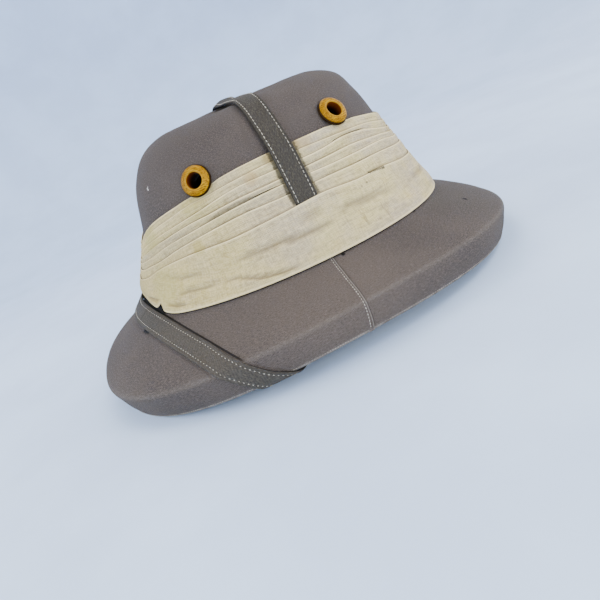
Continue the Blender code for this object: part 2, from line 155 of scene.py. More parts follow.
class Skin:
    """A place is an angle from the front, towards the wearer's left, and mm up the skin."""

    def __init__(self, rows):
        values = np.array(list(rows.values()))
        profile = np.stack([values[:, 0] + values[:, 2], values[:, 3]], axis=1)
        along = running_length(profile)
        self.sections = SmoothTable(values, along)
        self.up = dict(zip(rows, along))
        self.end = float(along[-1])

    def point(self, angle, up):
        angle, up = np.broadcast_arrays(np.asarray(angle, float), np.asarray(up, float))
        long, wide, centre, ends, sides, lift, full = np.moveaxis(self.sections.at(up), -1, 0)
        c, s = np.cos(np.radians(angle)), np.sin(np.radians(angle))
        x = centre + long * np.sign(c) * np.abs(c) ** (2 / full)
        y = wide * np.sign(s) * np.abs(s) ** (2 / full)
        z = ends + (sides - ends) * side_share(angle) - lift * c
        return np.stack([x, y, z], axis=-1) * MM

    def angle_at(self, x, up):
        """The angle on the left side where the skin at this height has this x in mm."""
        long, _, centre, _, _, _, full = np.moveaxis(self.sections.at(up), -1, 0)
        c = np.clip((x - centre) / long, -1.0, 1.0)
        return np.degrees(np.arccos(np.sign(c) * np.abs(c) ** (full / 2)))

    def normal(self, angle, up):
        low, high = np.maximum(up - 1.0, 0.0), np.minimum(up + 1.0, self.end - 0.5)
        round_chord = self.point(angle + 0.7, up) - self.point(angle - 0.7, up)
        return unit(np.cross(round_chord, self.point(angle, high) - self.point(angle, low)))

    def offset(self, angle, up, distance):
        return self.point(angle, up) + self.normal(angle, up) * np.asarray(distance)[..., None]


OUTER, INNER = Skin(OUTER_SKIN), Skin(INNER_SKIN)
print("skin heights in mm:", {name: round(up, 1) for name, up in OUTER.up.items()})

# %% [markdown]
# ## The camera
#
# The camera goes in before any detail, so that each piece can be judged in the picture that it is
# made for. It stands behind the wearer's right shoulder and a little above the brim, rolled by
# about 24 degrees, so the hat's rim climbs across the picture.

# %% Place the camera
CAMERA_PLACE = Vector((-0.08698, -0.45994, 0.17625))
CAMERA_FORWARD = Vector((0.16109, 0.92067, -0.35554)).normalized()
CAMERA_UP = Vector((0.4610, 0.2483, 0.8519))
CAMERA_LENS, SENSOR_WIDTH = 35.23, 36.0     # mm
HAT_MIDDLE = Vector((0.0, 0.0, 0.08))


def add_object(name, data):
    """A new object of the scene, at the origin."""
    obj = bpy.data.objects.new(name, data)
    bpy.context.scene.collection.objects.link(obj)
    return obj


def camera_matrix(place, forward, up):
    right = forward.cross(up).normalized()
    upright = right.cross(forward)
    turned = Matrix((right, upright, -forward)).transposed().to_4x4()
    return Matrix.Translation(place) @ turned


camera = add_object("camera", bpy.data.cameras.new("camera"))
camera.data.lens = CAMERA_LENS
camera.data.sensor_width = SENSOR_WIDTH
camera.data.clip_start = 0.01
camera.matrix_world = camera_matrix(CAMERA_PLACE, CAMERA_FORWARD, CAMERA_UP)
bpy.context.scene.camera = camera
print("camera to hat centre:", round((CAMERA_PLACE - HAT_MIDDLE).length, 3), "m")

# %% [markdown]
# ## Building trees of nodes
#
# Geometry Nodes and materials are both trees of nodes, so one small function serves them all: it
# adds a node, sets what it is told, and joins whatever sockets it is handed.

# %% One function that adds a node
def add_node(tree, kind, inputs=(), **settings):
    """A new node. Its inputs are values, nodes or sockets, in their order or by name or number."""
    node = tree.nodes.new(kind)
    for key, value in settings.items():
        setattr(node, key, value)
    for key, value in inputs.items() if isinstance(inputs, dict) else enumerate(inputs):
        if isinstance(value, bpy.types.Node):
            value = value.outputs[0]
        if isinstance(value, bpy.types.NodeSocket):
            tree.links.new(value, node.inputs[key])
        else:
            node.inputs[key].default_value = value
    return node


def srgb(code):
    """An sRGB hex colour such as 'c8bfa6' as linear red, green, blue and alpha."""
    parts = [int(code[i:i + 2], 16) / 255 for i in (0, 2, 4)]
    return (*[p / 12.92 if p <= 0.04045 else ((p + 0.055) / 1.055) ** 2.4 for p in parts], 1.0)


print("middle grey 808080 is", round(srgb("808080")[0], 3), "in linear light")

# %% [markdown]
# ## Cotton drill
#
# Drill is a stout cotton twill: its threads cross in fine slanting ribs, so it is matt and looks
# a little speckled. Years of light have faded it unevenly. A wave texture on the cloth's own UV
# map makes the ribs, and noises of several sizes make slubs in the yarn and faded patches. The
# real ribs are 0.6 mm apart, too fine to show, so they are drawn at 1.1 mm.

# %% Helpers for cloth materials
SMOOTH = {"interpolation_type": "SMOOTHSTEP"}       # of a Map Range node


def new_material(name):
    material = bpy.data.materials.new(name)
    material.use_nodes = True
    material.node_tree.nodes.clear()
    return material, material.node_tree


def lumps(tree, place, size, detail=3.0, rough=0.55, stretch=(1.0, 1.0, 1.0)):
    """Noise with lumps of about this many mm, drawn out along an axis whose stretch is below 1."""
    drawn_out = add_node(tree, "ShaderNodeMapping", {"Vector": place, "Scale": stretch})
    return add_node(tree, "ShaderNodeTexNoise", {
        "Vector": drawn_out, "Scale": 1.0 / (size * MM), "Detail": detail, "Roughness": rough},
        normalize=True)


def two_tones(tree, value, low, high, first, second):
    """The first hex colour where the value is low, going over to the second where it is high."""
    share = add_node(tree, "ShaderNodeMapRange", (value, low, high), **SMOOTH)
    return add_node(tree, "ShaderNodeMix", {0: share, 6: srgb(first), 7: srgb(second)},
                    data_type="RGBA").outputs[2]


def worked(tree, colour, share, strength, code):
    """The colour, taken towards a hex tint by share times strength."""
    part = add_node(tree, "ShaderNodeMath", (share, strength), operation="MULTIPLY")
    return add_node(tree, "ShaderNodeMix", {0: part, 6: colour, 7: srgb(code)},
                    data_type="RGBA").outputs[2]


def layered(tree, colour, layers):
    """The colour under layers of tint. Each row: a value, from low, to high, strength, tint."""
    for value, low, high, strength, code in layers:
        share = add_node(tree, "ShaderNodeMapRange", (value, low, high), **SMOOTH)
        colour = worked(tree, colour, share, strength, code)
    return colour


def spotted(tree, colour, place, ragged, table):
    """The colour with ragged spots over it. Each row: centre and radius in mm, strength, tint."""
    for centre, radius, strength, code in table:
        away = add_node(tree, "ShaderNodeVectorMath", (place, [c * MM for c in centre]),
                        operation="DISTANCE").outputs[1]
        edge = add_node(tree, "ShaderNodeMath", (ragged, radius * MM * 0.9, away),
                        operation="MULTIPLY_ADD")
        inside = add_node(tree, "ShaderNodeMapRange",
                          (edge, radius * MM * 0.6, radius * MM * 1.6, 1.0, 0.0), **SMOOTH)
        colour = worked(tree, colour, inside, strength, code)
    return colour


def finish_cloth(tree, colour, height, distance, roughness, sheen):
    """Diffuse cloth with a slight nap that catches light at glancing angles."""
    bump = add_node(tree, "ShaderNodeBump", {"Height": height, "Distance": distance,
                                             "Strength": 1.0})
    shader = add_node(tree, "ShaderNodeBsdfPrincipled", {
        "Base Color": colour, "Roughness": roughness, "Normal": bump,
        "Specular IOR Level": 0.15, "Sheen Weight": sheen, "Sheen Roughness": 0.5})
    add_node(tree, "ShaderNodeOutputMaterial", {"Surface": shader})

# %% The helmet's faded drill
RIB_PITCH = 1.1 * MM
RIB_ANGLE = math.radians(63)        # of the ribs, across the strip of cloth
WAVE_PERIOD = 2 * math.pi / 20      # a band wave of scale 1 repeats after this many units


def shade_band(tree, place, plane, distance, middle, half, fade, lowest):
    """1 along a strip beside a plane, mirrored in y, and 0 away from it; distances are in mm."""
    x, y, z = add_node(tree, "ShaderNodeSeparateXYZ", (place,)).outputs
    beside = add_node(tree, "ShaderNodeMath", (y,), operation="ABSOLUTE")
    one_side = add_node(tree, "ShaderNodeCombineXYZ", (x, beside, z))
    off = add_node(tree, "ShaderNodeVectorMath", (one_side, plane),
                   operation="DOT_PRODUCT").outputs[1]
    off = add_node(tree, "ShaderNodeMath", (off, (distance + middle) * MM), operation="SUBTRACT")
    off = add_node(tree, "ShaderNodeMath", (off,), operation="ABSOLUTE")
    near = add_node(tree, "ShaderNodeMapRange", (off, (half + fade) * MM, half * MM), **SMOOTH)
    above = add_node(tree, "ShaderNodeMapRange", (z, lowest * MM, (lowest + 4.0) * MM), **SMOOTH)
    return add_node(tree, "ShaderNodeMath", (near, above), operation="MULTIPLY")


def drill(name, body, shaded, faded, tone_patches=(), spots=(), strap_shadows=()):
    """Cotton drill: three close tones, slanting ribs, slubs, worn edges, painted highlights and
    shade.
    """
    material, tree = new_material(name)
    place = add_node(tree, "ShaderNodeTexCoord").outputs["Object"]
    cloth = add_node(tree, "ShaderNodeUVMap", uv_map="UVMap")
    slanted = add_node(tree, "ShaderNodeMapping", {"Vector": cloth, "Rotation": (0, 0, RIB_ANGLE)})
    ribs = add_node(tree, "ShaderNodeTexWave", {
        "Vector": slanted, "Scale": WAVE_PERIOD / RIB_PITCH, "Distortion": 1.4,
        "Detail": 2.0, "Detail Scale": 1.5}, bands_direction="X").outputs["Fac"]
    slub = lumps(tree, cloth, 2.2, 5.0, 0.75, stretch=(1.0, 2.6, 1.0))
    fleck = lumps(tree, cloth, 0.9, 3.0, 0.7)
    patch = lumps(tree, place, 35.0, 3.0, 0.5)
    ragged = add_node(tree, "ShaderNodeMath", (lumps(tree, place, 3.0), 0.5), operation="SUBTRACT")
    wear_and_highlight, painted_shade = (add_node(tree, "ShaderNodeAttribute", attribute_name=mark).outputs["Fac"]
                     for mark in ("wear_and_highlight", "painted_shade"))
    colour = two_tones(tree, patch, 0.36, 0.66, shaded, body)
    colour = spotted(tree, colour, place, ragged, tone_patches)
    colour = layered(tree, colour, (
        (slub, 0.44, 0.70, 0.90, faded),
        (fleck, 0.56, 0.30, 0.60, "211e1c"),
        (ribs, 0.35, 1.0, 0.15, faded)))
    uneven = add_node(tree, "ShaderNodeMapRange", (slub, 0.2, 0.7, 0.35, 1.0), **SMOOTH)
    # lighter with wear at the rim, and painted highlights on the crease and the seam's edge
    colour = worked(tree, colour, wear_and_highlight, uneven, "9a9388")
    # painted shade, near black, where the mesh marks shadowed places
    colour = worked(tree, colour, painted_shade, 0.97, "0a0908")
    # painted shadows in strips beside the straps
    for strength, *strip in strap_shadows:
        colour = worked(tree, colour, shade_band(tree, place, *strip), strength, "0f0d0c")
    colour = spotted(tree, colour, place, ragged, spots)
    height = add_node(tree, "ShaderNodeMath", (ribs, 0.35), operation="MULTIPLY")
    height = add_node(tree, "ShaderNodeMath", (height, slub), operation="ADD")
    finish_cloth(tree, colour, height, 0.40 * MM, 0.92, 0.02)
    return material


print("drill's ribs:", round(RIB_PITCH / MM, 1), "mm apart")

# %% Spots and marks on the helmet's cover
COVER_TONE_PATCHES = (     # lighter patches on the brim's sides, and darker ones at its front
    # centre and radius in mm, strength, tint
    ((-10.0, -122.0, 36.0), 46.0, 0.75, "564c45"),
    ((-60.0, -105.0, 40.0), 34.0, 0.45, "524943"),
    ((-10.0, 122.0, 36.0), 46.0, 0.60, "524943"),
    ((118.0, -60.0, 40.0), 36.0, 0.55, "3c3832"),
    ((118.0, 50.0, 40.0), 36.0, 0.45, "3e3937"),
)
COVER_MARKS = (     # pin holes and nicks, one pale scuff, and a black oval mark beside the chin strap
    ((125.0, -76.4, 37.9), 1.7, 1.0, "0c0b0b"),
    ((-77.9, -36.6, 139.2), 0.6, 0.9, "c9c5bd"),
    ((-78.3, -36.2, 138.2), 0.6, 0.9, "c9c5bd"),
    ((-78.0, -36.9, 137.2), 0.6, 0.9, "c9c5bd"),
    ((13.6, -106.4, 54.2), 1.3, 0.95, "12100e"),
    ((78.5, -86.4, 52.4), 1.9, 0.95, "12100e"),
    ((-126.6, -36.2, 48.2), 2.0, 1.0, "060505"),
    ((-125.5, -39.4, 48.2), 2.1, 1.0, "060505"),
    ((-124.5, -42.4, 48.1), 1.6, 1.0, "060505"),
)
COVER_STRAP_SHADOWS = (     # painted shadows: dark lines on the cloth beside the straps
    # strength, plane, its distance, then middle, half width and fade in mm, lowest z in mm
    (0.85, (-0.813, 0.148, -0.563), 64.6, -0.6, 0.4, 0.5, 30.0),
    (0.45, (-1.0, 0.0, 0.0), 0.0, -4.0, 4.5, 4.0, 110.0),
)
cover_drill = drill("faded cotton drill, woven", "4b433e", "433c39", "675d55",
                    tone_patches=COVER_TONE_PATCHES, spots=COVER_MARKS, strap_shadows=COVER_STRAP_SHADOWS)
strap_drill = drill("folded strap drill, woven", "37332d", "312d28", "565046")
STRAP_CREASE_SHADE = (     # painted shade in a crease across the strap, where it begins to turn round the back
    ((-125.2, -25.3, 54.0), 1.3, 0.50, "24211d"),
    ((-123.3, -25.7, 55.3), 1.3, 0.55, "24211d"),
    ((-121.4, -26.4, 56.7), 1.2, 0.55, "24211d"),
    ((-119.3, -28.0, 58.3), 1.2, 0.50, "24211d"),
)
pale_strap_drill = drill("rubbed strap drill, woven", "423d37", "3a3631", "5d574d",
                         spots=STRAP_CREASE_SHADE)
lining_cotton = drill("plain lining cotton, woven", "4f4b41", "454138", "625d50")
print("cover:", len(COVER_TONE_PATCHES), "bleached places and", len(COVER_MARKS), "small marks")

# %% [markdown]
# ## From a grid of points to a mesh
#
# The shell and the band are both surfaces that go once round the hat. NumPy works out all of
# their points at once, and one function joins them into quads, with a UV map in metres so that
# weaves keep their size, and with numbers on each point, such as its wear, its painted highlights
# and its painted shade.

# %% Mesh a grid that closes round the hat
def grid_object(name, points, uv, marks, materials, slots=None, closed_rows=False, poles=None):
    """points is (rows, columns, 3); the last column joins the first. uv has one column more."""
    rows, columns = points.shape[:2]
    index = np.arange(rows * columns).reshape(rows, columns)
    below, above = (index, np.roll(index, -1, 0)) if closed_rows else (index[:-1], index[1:])
    quads = np.stack([below, np.roll(below, -1, 1), np.roll(above, -1, 1), above], -1)
    faces = quads.reshape(-1, 4).tolist()
    low, high = uv[:-1], uv[1:]
    corners = np.stack([low[:, :-1], low[:, 1:], high[:, 1:], high[:, :-1]], 2).reshape(-1, 2)
    places = points.reshape(-1, 3)
    if poles is not None:
        # A fan of triangles closes each end: the first turns the other way round.
        for row, flip in ((0, 1), (-1, 0)):
            pole = len(places) + (0 if flip else 1)
            ring, ahead = index[row].tolist(), np.roll(index[row], -1).tolist()
            faces += [(b, a, pole) if flip else (a, b, pole) for a, b in zip(ring, ahead)]
            corners = np.vstack([corners] + [uv[row][[i + flip, i + 1 - flip, i]]
                                             for i in range(columns)])
        places = np.vstack([places, poles])
    mesh = bpy.data.meshes.new(name)
    mesh.from_pydata(places.tolist(), [], faces)
    layer = mesh.uv_layers.new(name="UVMap")
    layer.data.foreach_set("uv", corners.astype(np.float32).ravel())
    for mark, values in marks.items():
        values = values.astype(np.float32).ravel()
        if poles is not None:
            values = np.append(values, [values[0], values[-1]])
        mesh.attributes.new(mark, "FLOAT", "POINT").data.foreach_set("value", values)
    for material in materials:
        mesh.materials.append(material)
    if slots is not None:
        mesh.polygons.foreach_set("material_index", slots.astype(np.int32))
    mesh.shade_smooth()
    mesh.update()
    return add_object(name, mesh)


def triangles(obj):
    obj.data.calc_loop_triangles()
    return len(obj.data.loop_triangles)


def ramp(value, start, end):
    """0 before start and 1 past end, with a smooth rise between them."""
    t = np.clip((np.asarray(value, float) - start) / (end - start), 0.0, 1.0)
    return t * t * (3 - 2 * t)


def hump(value, middle, width):
    """1 at the middle, falling away smoothly to both sides."""
    return np.exp(-((value - middle) / width) ** 2)


def ripple(angle, up, cycles, pitch, seed, waves=7):
    """A smooth random wave round the hat, from -1 to 1: cycles round it, pitch in mm up it."""
    rng = np.random.default_rng(seed)
    total = 0.0
    for _ in range(waves):
        turns = rng.integers(cycles[0], cycles[1] + 1)
        climb = rng.uniform(-1, 1) * 2 * np.pi / pitch
        total = total + np.sin(np.radians(angle) * turns + up * climb + rng.uniform(0, 2 * np.pi))
    return total / (waves ** 0.5 * 1.6)

# %% [markdown]
# ## The covered shell
#
# The drill is cut in a front and a back panel and stretched over the shell while it is damp, so
# it lies smooth. The panels overlap at the sides in a lapped seam, and at the rim the cloth is
# turned over and sewn down. The shell is made as a fine version of the CAD's sections, with the
# lap and the turned rim as real steps, because they catch the light.

# %% Where the lapped side seam and the band's lower edge run
# The seam's folded edge: height up the skin, and how far in front of the middle, both in mm.
SEAM_LINE = ((0.0, 4.3), (15.0, 5.2), (33.0, 5.9), (50.0, 6.0), (75.0, 6.5), (120.0, 7.5))
LAP_HEIGHT = 0.5                # mm that the folded edge of the back panel stands up
LAP_FALL = 6.0                  # mm over which that height dies away behind the edge
HEM_WIDTH, HEM_HEIGHT = 4.6, 0.5    # mm, the turned edge at the rim
RIM_ROW = 3.6                   # mm up the skin to its row of stitches
BAND_FOOT = OUTER.up["band_foot"]
BAND_LIFT, LIFT_STARTS, LIFT_ENDS = 10.3, 142.0, 176.0      # mm, and degrees from the front
NOTCH_HEIGHT, NOTCH_ANGLE, NOTCH_WIDTH = 5.0, -155.1, 1.8   # mm and degrees


def seam_x(up):
    return np.interp(up, *np.array(SEAM_LINE).T)


def even_bottom(angle):
    """The band's lower edge rises at the back, over the chin strap."""
    return BAND_FOOT + BAND_LIFT * ramp(np.abs(angle), LIFT_STARTS, LIFT_ENDS)


def band_bottom(angle):
    """The same edge with the notch that is folded into it at the back."""
    return even_bottom(angle) + NOTCH_HEIGHT * hump(angle, NOTCH_ANGLE, NOTCH_WIDTH)


print("band's lower edge:", *(round(float(even_bottom(angle)), 1) for angle in (0.0, 180.0)),
      "mm up the skin at front and back")

# %% Points of the shell
# Beside the seam the columns lie at these distances behind its folded edge, in mm.
SEAM_STEPS = np.array([
    -12, -9.4, -7, -5.2, -3.8, -2.7, -1.8, -1.1, -0.6, -0.3, -0.12, 0.0, 0.12, 0.3,
    0.55, 0.9, 1.4, 2.1, 3, 4.2, 5.8, 7.6, 9.8, 12.0])
# High up, where no seam shows, they spread evenly about this angle, and elsewhere by whole degrees.
SEAM_ANGLE, SEAM_SPREAD, SEAM_HALF = 89.5, 0.43, 6.0
PLAIN = np.arange(-180.0, 180.0, 1.0)
PLAIN = PLAIN[np.abs(np.abs(PLAIN) - SEAM_ANGLE) > SEAM_HALF]
REAR_RIGHT, REAR_LEFT = PLAIN[PLAIN < -SEAM_ANGLE], PLAIN[PLAIN > SEAM_ANGLE]
FRONT = PLAIN[np.abs(PLAIN) < SEAM_ANGLE]
TURNED_IN_ROWS = 4              # rows of the inner skin that the drill covers, next to the rim
outer_ups = np.concatenate([
    np.linspace(0, 4, 9), np.linspace(5.5, 19.5, 9), np.linspace(20.5, 27, 10),
    np.linspace(29, 68, 20), np.linspace(70, 88, 16), np.linspace(92, 136, 12),
    np.linspace(139, 200, 26), np.linspace(203, OUTER.end - 2, 26)])
inner_ups = np.concatenate([
    np.linspace(INNER.end - 3, 66, 28), np.linspace(62, 8, 20), np.linspace(6, 0, TURNED_IN_ROWS)])


def column_angles(skin, ups):
    """Angles of all the columns in each row: those near the seam follow it, mm by mm."""
    ups = ups[:, None]
    followed = skin.angle_at(seam_x(ups) - SEAM_STEPS, ups)
    spread = SEAM_ANGLE + SEAM_STEPS * SEAM_SPREAD
    near = followed + (spread - followed) * ramp(ups, 90.0, 125.0)
    rear_right, front, rear_left = (np.broadcast_to(part, (len(ups), len(part)))
                                    for part in (REAR_RIGHT, FRONT, REAR_LEFT))
    return np.concatenate([rear_right, -near[:, ::-1], front, near, rear_left], axis=1)


FAR_OFF = 99.0                  # stands for columns that are not near a seam
behind_seam = np.concatenate([
    np.full_like(REAR_RIGHT, FAR_OFF), SEAM_STEPS[::-1], np.full_like(FRONT, FAR_OFF), SEAM_STEPS,
    np.full_like(REAR_LEFT, FAR_OFF)])
shell_angles, inner_angles = column_angles(OUTER, outer_ups), column_angles(INNER, inner_ups)
ups = outer_ups[:, None]
lap = ramp(behind_seam, -0.12, 0.12) * (1 - ramp(behind_seam, 2.4, LAP_FALL))
lap = lap * (1 - ramp(ups, 150, 175))
hem = np.sin(np.pi * np.clip(ups / HEM_WIDTH, 0, 1)) ** 0.7
sag = (0.22 * ripple(shell_angles, ups, (2, 9), 60, 11)
       + 0.10 * ripple(shell_angles, ups, (8, 22), 26, 12))
sag = sag * ramp(ups, 3, 20) * ramp(OUTER.end - ups, 3, 30)
lift = LAP_HEIGHT * lap + HEM_HEIGHT * hem + sag
outer_points = OUTER.offset(shell_angles, np.broadcast_to(ups, lift.shape), lift * MM)
inner_points = INNER.point(inner_angles, inner_ups[:, None])
shell_points = np.vstack([inner_points, outer_points])
shell_points[..., 2] = np.maximum(shell_points[..., 2], 0.0)
print("shell grid:", shell_points.shape[:2])

# %% Mesh the shell, with its wear and its two cloths
def arc_uv(points):
    """UV in metres: round the hat at the mean radius, and along each column from its first row."""
    closed = np.concatenate([points, points[:, :1]], axis=1)
    across = np.linalg.norm(np.diff(closed, axis=1), axis=-1)
    middle = across[len(points) // 2] if len(points) > 2 else across[0]
    u = np.concatenate([[0.0], np.cumsum(middle)])
    along = np.linalg.norm(np.diff(closed, axis=0), axis=-1).mean(axis=1)
    v = np.concatenate([[0.0], np.cumsum(along)])
    return np.stack(np.broadcast_arrays(u[None, :], v[:, None]), axis=-1)


# Wear on the frayed rim, and painted highlights along the brim's crease and the seam's folded
# edge as far as it shows.
frayed = 0.65 + 0.6 * ripple(shell_angles, 0.0, (40, 130), 50, 13, 12)
on_seam = ups < 80
outer_wear_and_highlight = (0.7 * frayed * (1 - ramp(ups, 2.6, 4.6))
              + 0.11 * hump(ups, OUTER.up["crease"] + 1.0, 1.8)
              + 0.5 * hump(behind_seam, 0.28, 0.36) * on_seam)
# Painted shade: darker cloth from just below the band's lower edge up under the band, further
# down in the gap behind the chin strap, and in two lines beside the seam's folded edge.
shade_reach = 1.0 + 5.0 * ramp(np.abs(shell_angles), 150.0, 157.0)
dark_from = even_bottom(shell_angles) - shade_reach
outer_painted_shade = ramp(ups, dark_from, dark_from + 1.8) * (1 - ramp(ups, 112, 125))
for beside, share in ((-0.45, 0.5), (1.05, 0.3)):
    outer_painted_shade = np.maximum(outer_painted_shade, share * hump(behind_seam, beside, 0.32) * on_seam)
no_marks = np.zeros(inner_points.shape[:2])
shell_marks = {"wear_and_highlight": np.vstack([no_marks, outer_wear_and_highlight]),
               "painted_shade": np.vstack([no_marks, outer_painted_shade])}
columns = shell_points.shape[1]
lined_rows = np.arange(len(shell_points) - 1) < len(inner_ups) - TURNED_IN_ROWS
shell_slots = np.concatenate([np.repeat(lined_rows, columns), np.ones(columns), np.zeros(columns)])
shell = grid_object("helmet_shell", shell_points, arc_uv(shell_points), shell_marks,
                    [cover_drill, lining_cotton], shell_slots,
                    poles=np.vstack([INNER.point(0, INNER.end), OUTER.point(0, OUTER.end)]))
print("shell:", triangles(shell), "triangles, before the holes")

# %% [markdown]
# ## The puggaree
#
# The puggaree is a long strip of muslin, pleated by hand and pulled tight round the crown. Below
# is one wide fold, and above it are six narrow pleats, each tucked behind the one below, with its
# folded edge upwards. A cloth simulation would have to be guided pleat by pleat, so the band is
# built from its sections instead: each pleat has a rounded fold, a tuck behind it and a gap of
# its own depth.

# %% Lines of the folded edges, measured up the crown
# Angle from the front in degrees, height up the skin in mm.
FOLD_LINES = {
    "wide_fold": ((0, 108.0), (34, 108.3), (57, 110.6), (70, 110.9), (86, 112.2), (94, 111.9),
                  (115, 111.6), (125, 112.8), (136, 113.4), (150, 111.2), (165, 103.5),
                  (180, 99.5)),
    "lowest": ((0, 116.0), (47, 118.4), (74, 118.0), (93, 118.5), (109, 120.1), (126, 121.0),
               (141, 119.9), (158, 114.5), (173, 108.8), (180, 107.6)),
    "second": ((0, 120.8), (54, 123.4), (70, 122.3), (85, 122.5), (98, 123.6), (112, 124.6),
               (130, 126.3), (147, 126.2), (160, 121.6), (176, 113.8), (180, 113.0)),
    "third": ((0, 125.0), (51, 126.7), (70, 126.1), (93, 125.7), (108, 127.4), (120, 128.9),
              (130, 130.9), (141, 132.3), (158, 130.1), (168, 124.4), (177, 117.4), (180, 116.9)),
    "fourth": ((0, 129.3), (32, 129.3), (50, 131.0), (68, 131.0), (74, 129.9), (93, 130.0),
               (106, 132.3), (122, 133.6), (133, 135.4), (150, 137.2), (166, 133.2), (176, 125.6),
               (180, 124.8)),
    "fifth": ((0, 134.2), (31, 134.2), (44, 134.6), (64, 133.6), (75, 133.0), (93, 134.2),
              (103, 135.4), (116, 138.0), (125, 140.8), (138, 143.2), (150, 143.9), (164, 139.8),
              (176, 131.9), (180, 131.2)),
    "top": ((0, 139.6), (50, 140.2), (67, 139.0), (85, 138.2), (98, 139.8), (113, 143.0),
            (130, 146.4), (141, 148.1), (157, 147.0), (166, 143.4), (176, 136.8), (180, 136.0)),
}
# How deep the gap above each fold is, and how much painted shade it holds, by the angle: 0 is
# closed, and about 1 is open.
GAPS = {
    "wide_fold": ((0, 0.35), (55, 0.3), (57, 1.2), (63, 1.2), (65, 0.3), (90, 0.4), (120, 0.45),
                  (150, 0.6), (180, 0.6)),
    "lowest": ((0, 0.7), (60, 0.8), (90, 0.7), (120, 0.9), (150, 0.95), (180, 1.0)),
    "second": ((0, 0.3), (60, 0.35), (85, 0.4), (100, 0.5), (113, 0.7), (130, 0.6), (180, 0.4)),
    "third": ((0, 0.6), (60, 0.8), (90, 0.85), (105, 1.0), (118, 1.15), (135, 1.0), (180, 0.8)),
    "fourth": ((0, 0.5), (50, 0.65), (75, 0.75), (90, 0.6), (120, 0.35), (150, 0.15), (180, 0.1)),
    "fifth": ((0, 0.3), (60, 0.35), (90, 0.4), (120, 0.3), (150, 0.12), (180, 0.1)),
    "top": ((0, 0.0), (180, 0.0)),
}
FOLD_NAMES = list(FOLD_LINES)
print("folded edges, from the lowest:", FOLD_NAMES)

# %% Height and gap of each fold, all the way round

def mirrored(rows):
    """A table from front to back, carried on past both ends so that it is even there."""
    rows = list(rows)
    before = [(-a, h) for a, h in rows[2:0:-1]]
    after = [(360 - a, h) for a, h in rows[-2:-4:-1]]
    whole = np.array(before + rows + after, float)
    return SmoothTable(whole[:, 1:], whole[:, 0])


LINES = {name: mirrored(rows) for name, rows in FOLD_LINES.items()}
WANDER, FAR_WANDER = 0.18, 0.55     # mm that a fold wanders on its own, and more on the left side
LOW_BACK = 7.0                  # mm that the folds are pulled down on the left, next to the back


def fold_height(name, angle):
    height = LINES[name].at(np.abs(angle))[..., 0]
    order = FOLD_NAMES.index(name)
    far = np.where(angle > 0, np.sin(np.radians(np.abs(angle))), 0.0)
    wander = ripple(angle, 0.0, (5, 17), 50, 40 + order)
    from_back = 180.0 - angle
    dip = ramp(from_back, 0.0, 9.0) * (1 - ramp(from_back, 14.0, 34.0))
    low_back = np.where(angle > 0, LOW_BACK * dip, 0.0)
    return height + wander * (WANDER + FAR_WANDER * far) - low_back * order / 6


def gap_depth(name, angle):
    share = np.interp(np.abs(angle), *np.array(GAPS[name]).T)
    order = FOLD_NAMES.index(name)
    share = share * (1 + 0.35 * ripple(angle, 0.0, (4, 14), 50, 70 + order))
    from_front = np.abs(angle)
    drawn_tight = ramp(from_front, 12.0, 42.0) * (1 - 0.75 * ramp(from_front, 158.0, 172.0))
    return np.clip(share * (0.15 + 0.85 * drawn_tight), 0.0, 1.2)

# %% Thickness of the band at its folds
GAP = 0.4                       # mm between the band and the shell
BAND_SEAT = OUTER.up["wall_foot"] - 1.0
WIDE_FOLD_THICKNESS = 6.0       # mm at the sides
FULLNESS = {"back": 0.75, "side": 1.0, "front": 0.62}   # shares of that thickness
TOP_THICKNESS, PLEAT_GROWTH = 2.2, 0.3      # mm, of the top pleat and more for each one below it
CLOTH = 0.55                    # mm, two layers of muslin in a fold
TUCK = 2.3                      # mm that a pleat goes down behind the fold below it
STRAP_ANGLE, STRAP_REACH = 88.6, 5.2        # degrees, where the crown strap goes into the band


def blend_round(angle, back, side, front):
    c = np.cos(np.radians(angle))
    return side + (front - side) * np.maximum(0, c) ** 2 + (back - side) * np.maximum(0, -c) ** 2


def under_strap(angle):
    """1 where the crown strap goes down into the band, on both sides."""
    return np.exp(-((np.abs(angle) - STRAP_ANGLE) / STRAP_REACH) ** 4)


def crest(name, angle):
    """How far a folded edge stands off the shell, in mm."""
    order = FOLD_NAMES.index(name)
    if order == 0:
        return WIDE_FOLD_THICKNESS * blend_round(angle, **FULLNESS) + 0.5 * under_strap(angle)
    grown = TOP_THICKNESS + PLEAT_GROWTH * (len(FOLD_NAMES) - 1 - order)
    return grown + 0.22 * ripple(angle, 0.0, (6, 20), 50, 90 + order)


BAND_COLUMNS = 540
band_angles = np.arange(BAND_COLUMNS) * (360 / BAND_COLUMNS) - 180.0
right_side = np.array(-90.0)
print("wide fold at the side:", round(float(fold_height("wide_fold", right_side)), 1), "mm up,",
      round(float(crest("wide_fold", right_side)), 1), "mm thick")

# %% [markdown]
# Every column of the band is one line of points: up the wide fold, over its edge, down into the
# tuck, out again and up the next pleat, and so on to the top, then down the back against the
# shell.

# %% The band's section as rows of height and thickness
# Under the lower edge, which stands a little off the shell: mm above the edge, mm out, and the
# darkness of painted shade.
LOWER_LIP = ((2.0, 0.1, 1.0), (1.2, 0.3, 1.0), (0.5, 0.6, 0.8), (0.12, 0.95, 0.3), (0.0, 1.3, 0.0),
             (0.12, 1.65, 0.0))
# Up the wide fold: share of its height, mm out.
FOLD_SHAPE = ((0.02, 1.95), (0.045, 2.6), (0.075, 3.25), (0.105, 3.8), (0.13, 4.15),
              (0.16, 4.45), (0.2, 4.75), (0.25, 5.15), (0.3, 5.5), (0.36, 5.75), (0.42, 5.95),
              (0.48, 6.08), (0.54, 6.16), (0.6, 6.2), (0.66, 6.2), (0.72, 6.16), (0.78, 6.1),
              (0.84, 6.05), (0.89, 6.02), (0.93, 6.0), (0.96, 6.0))
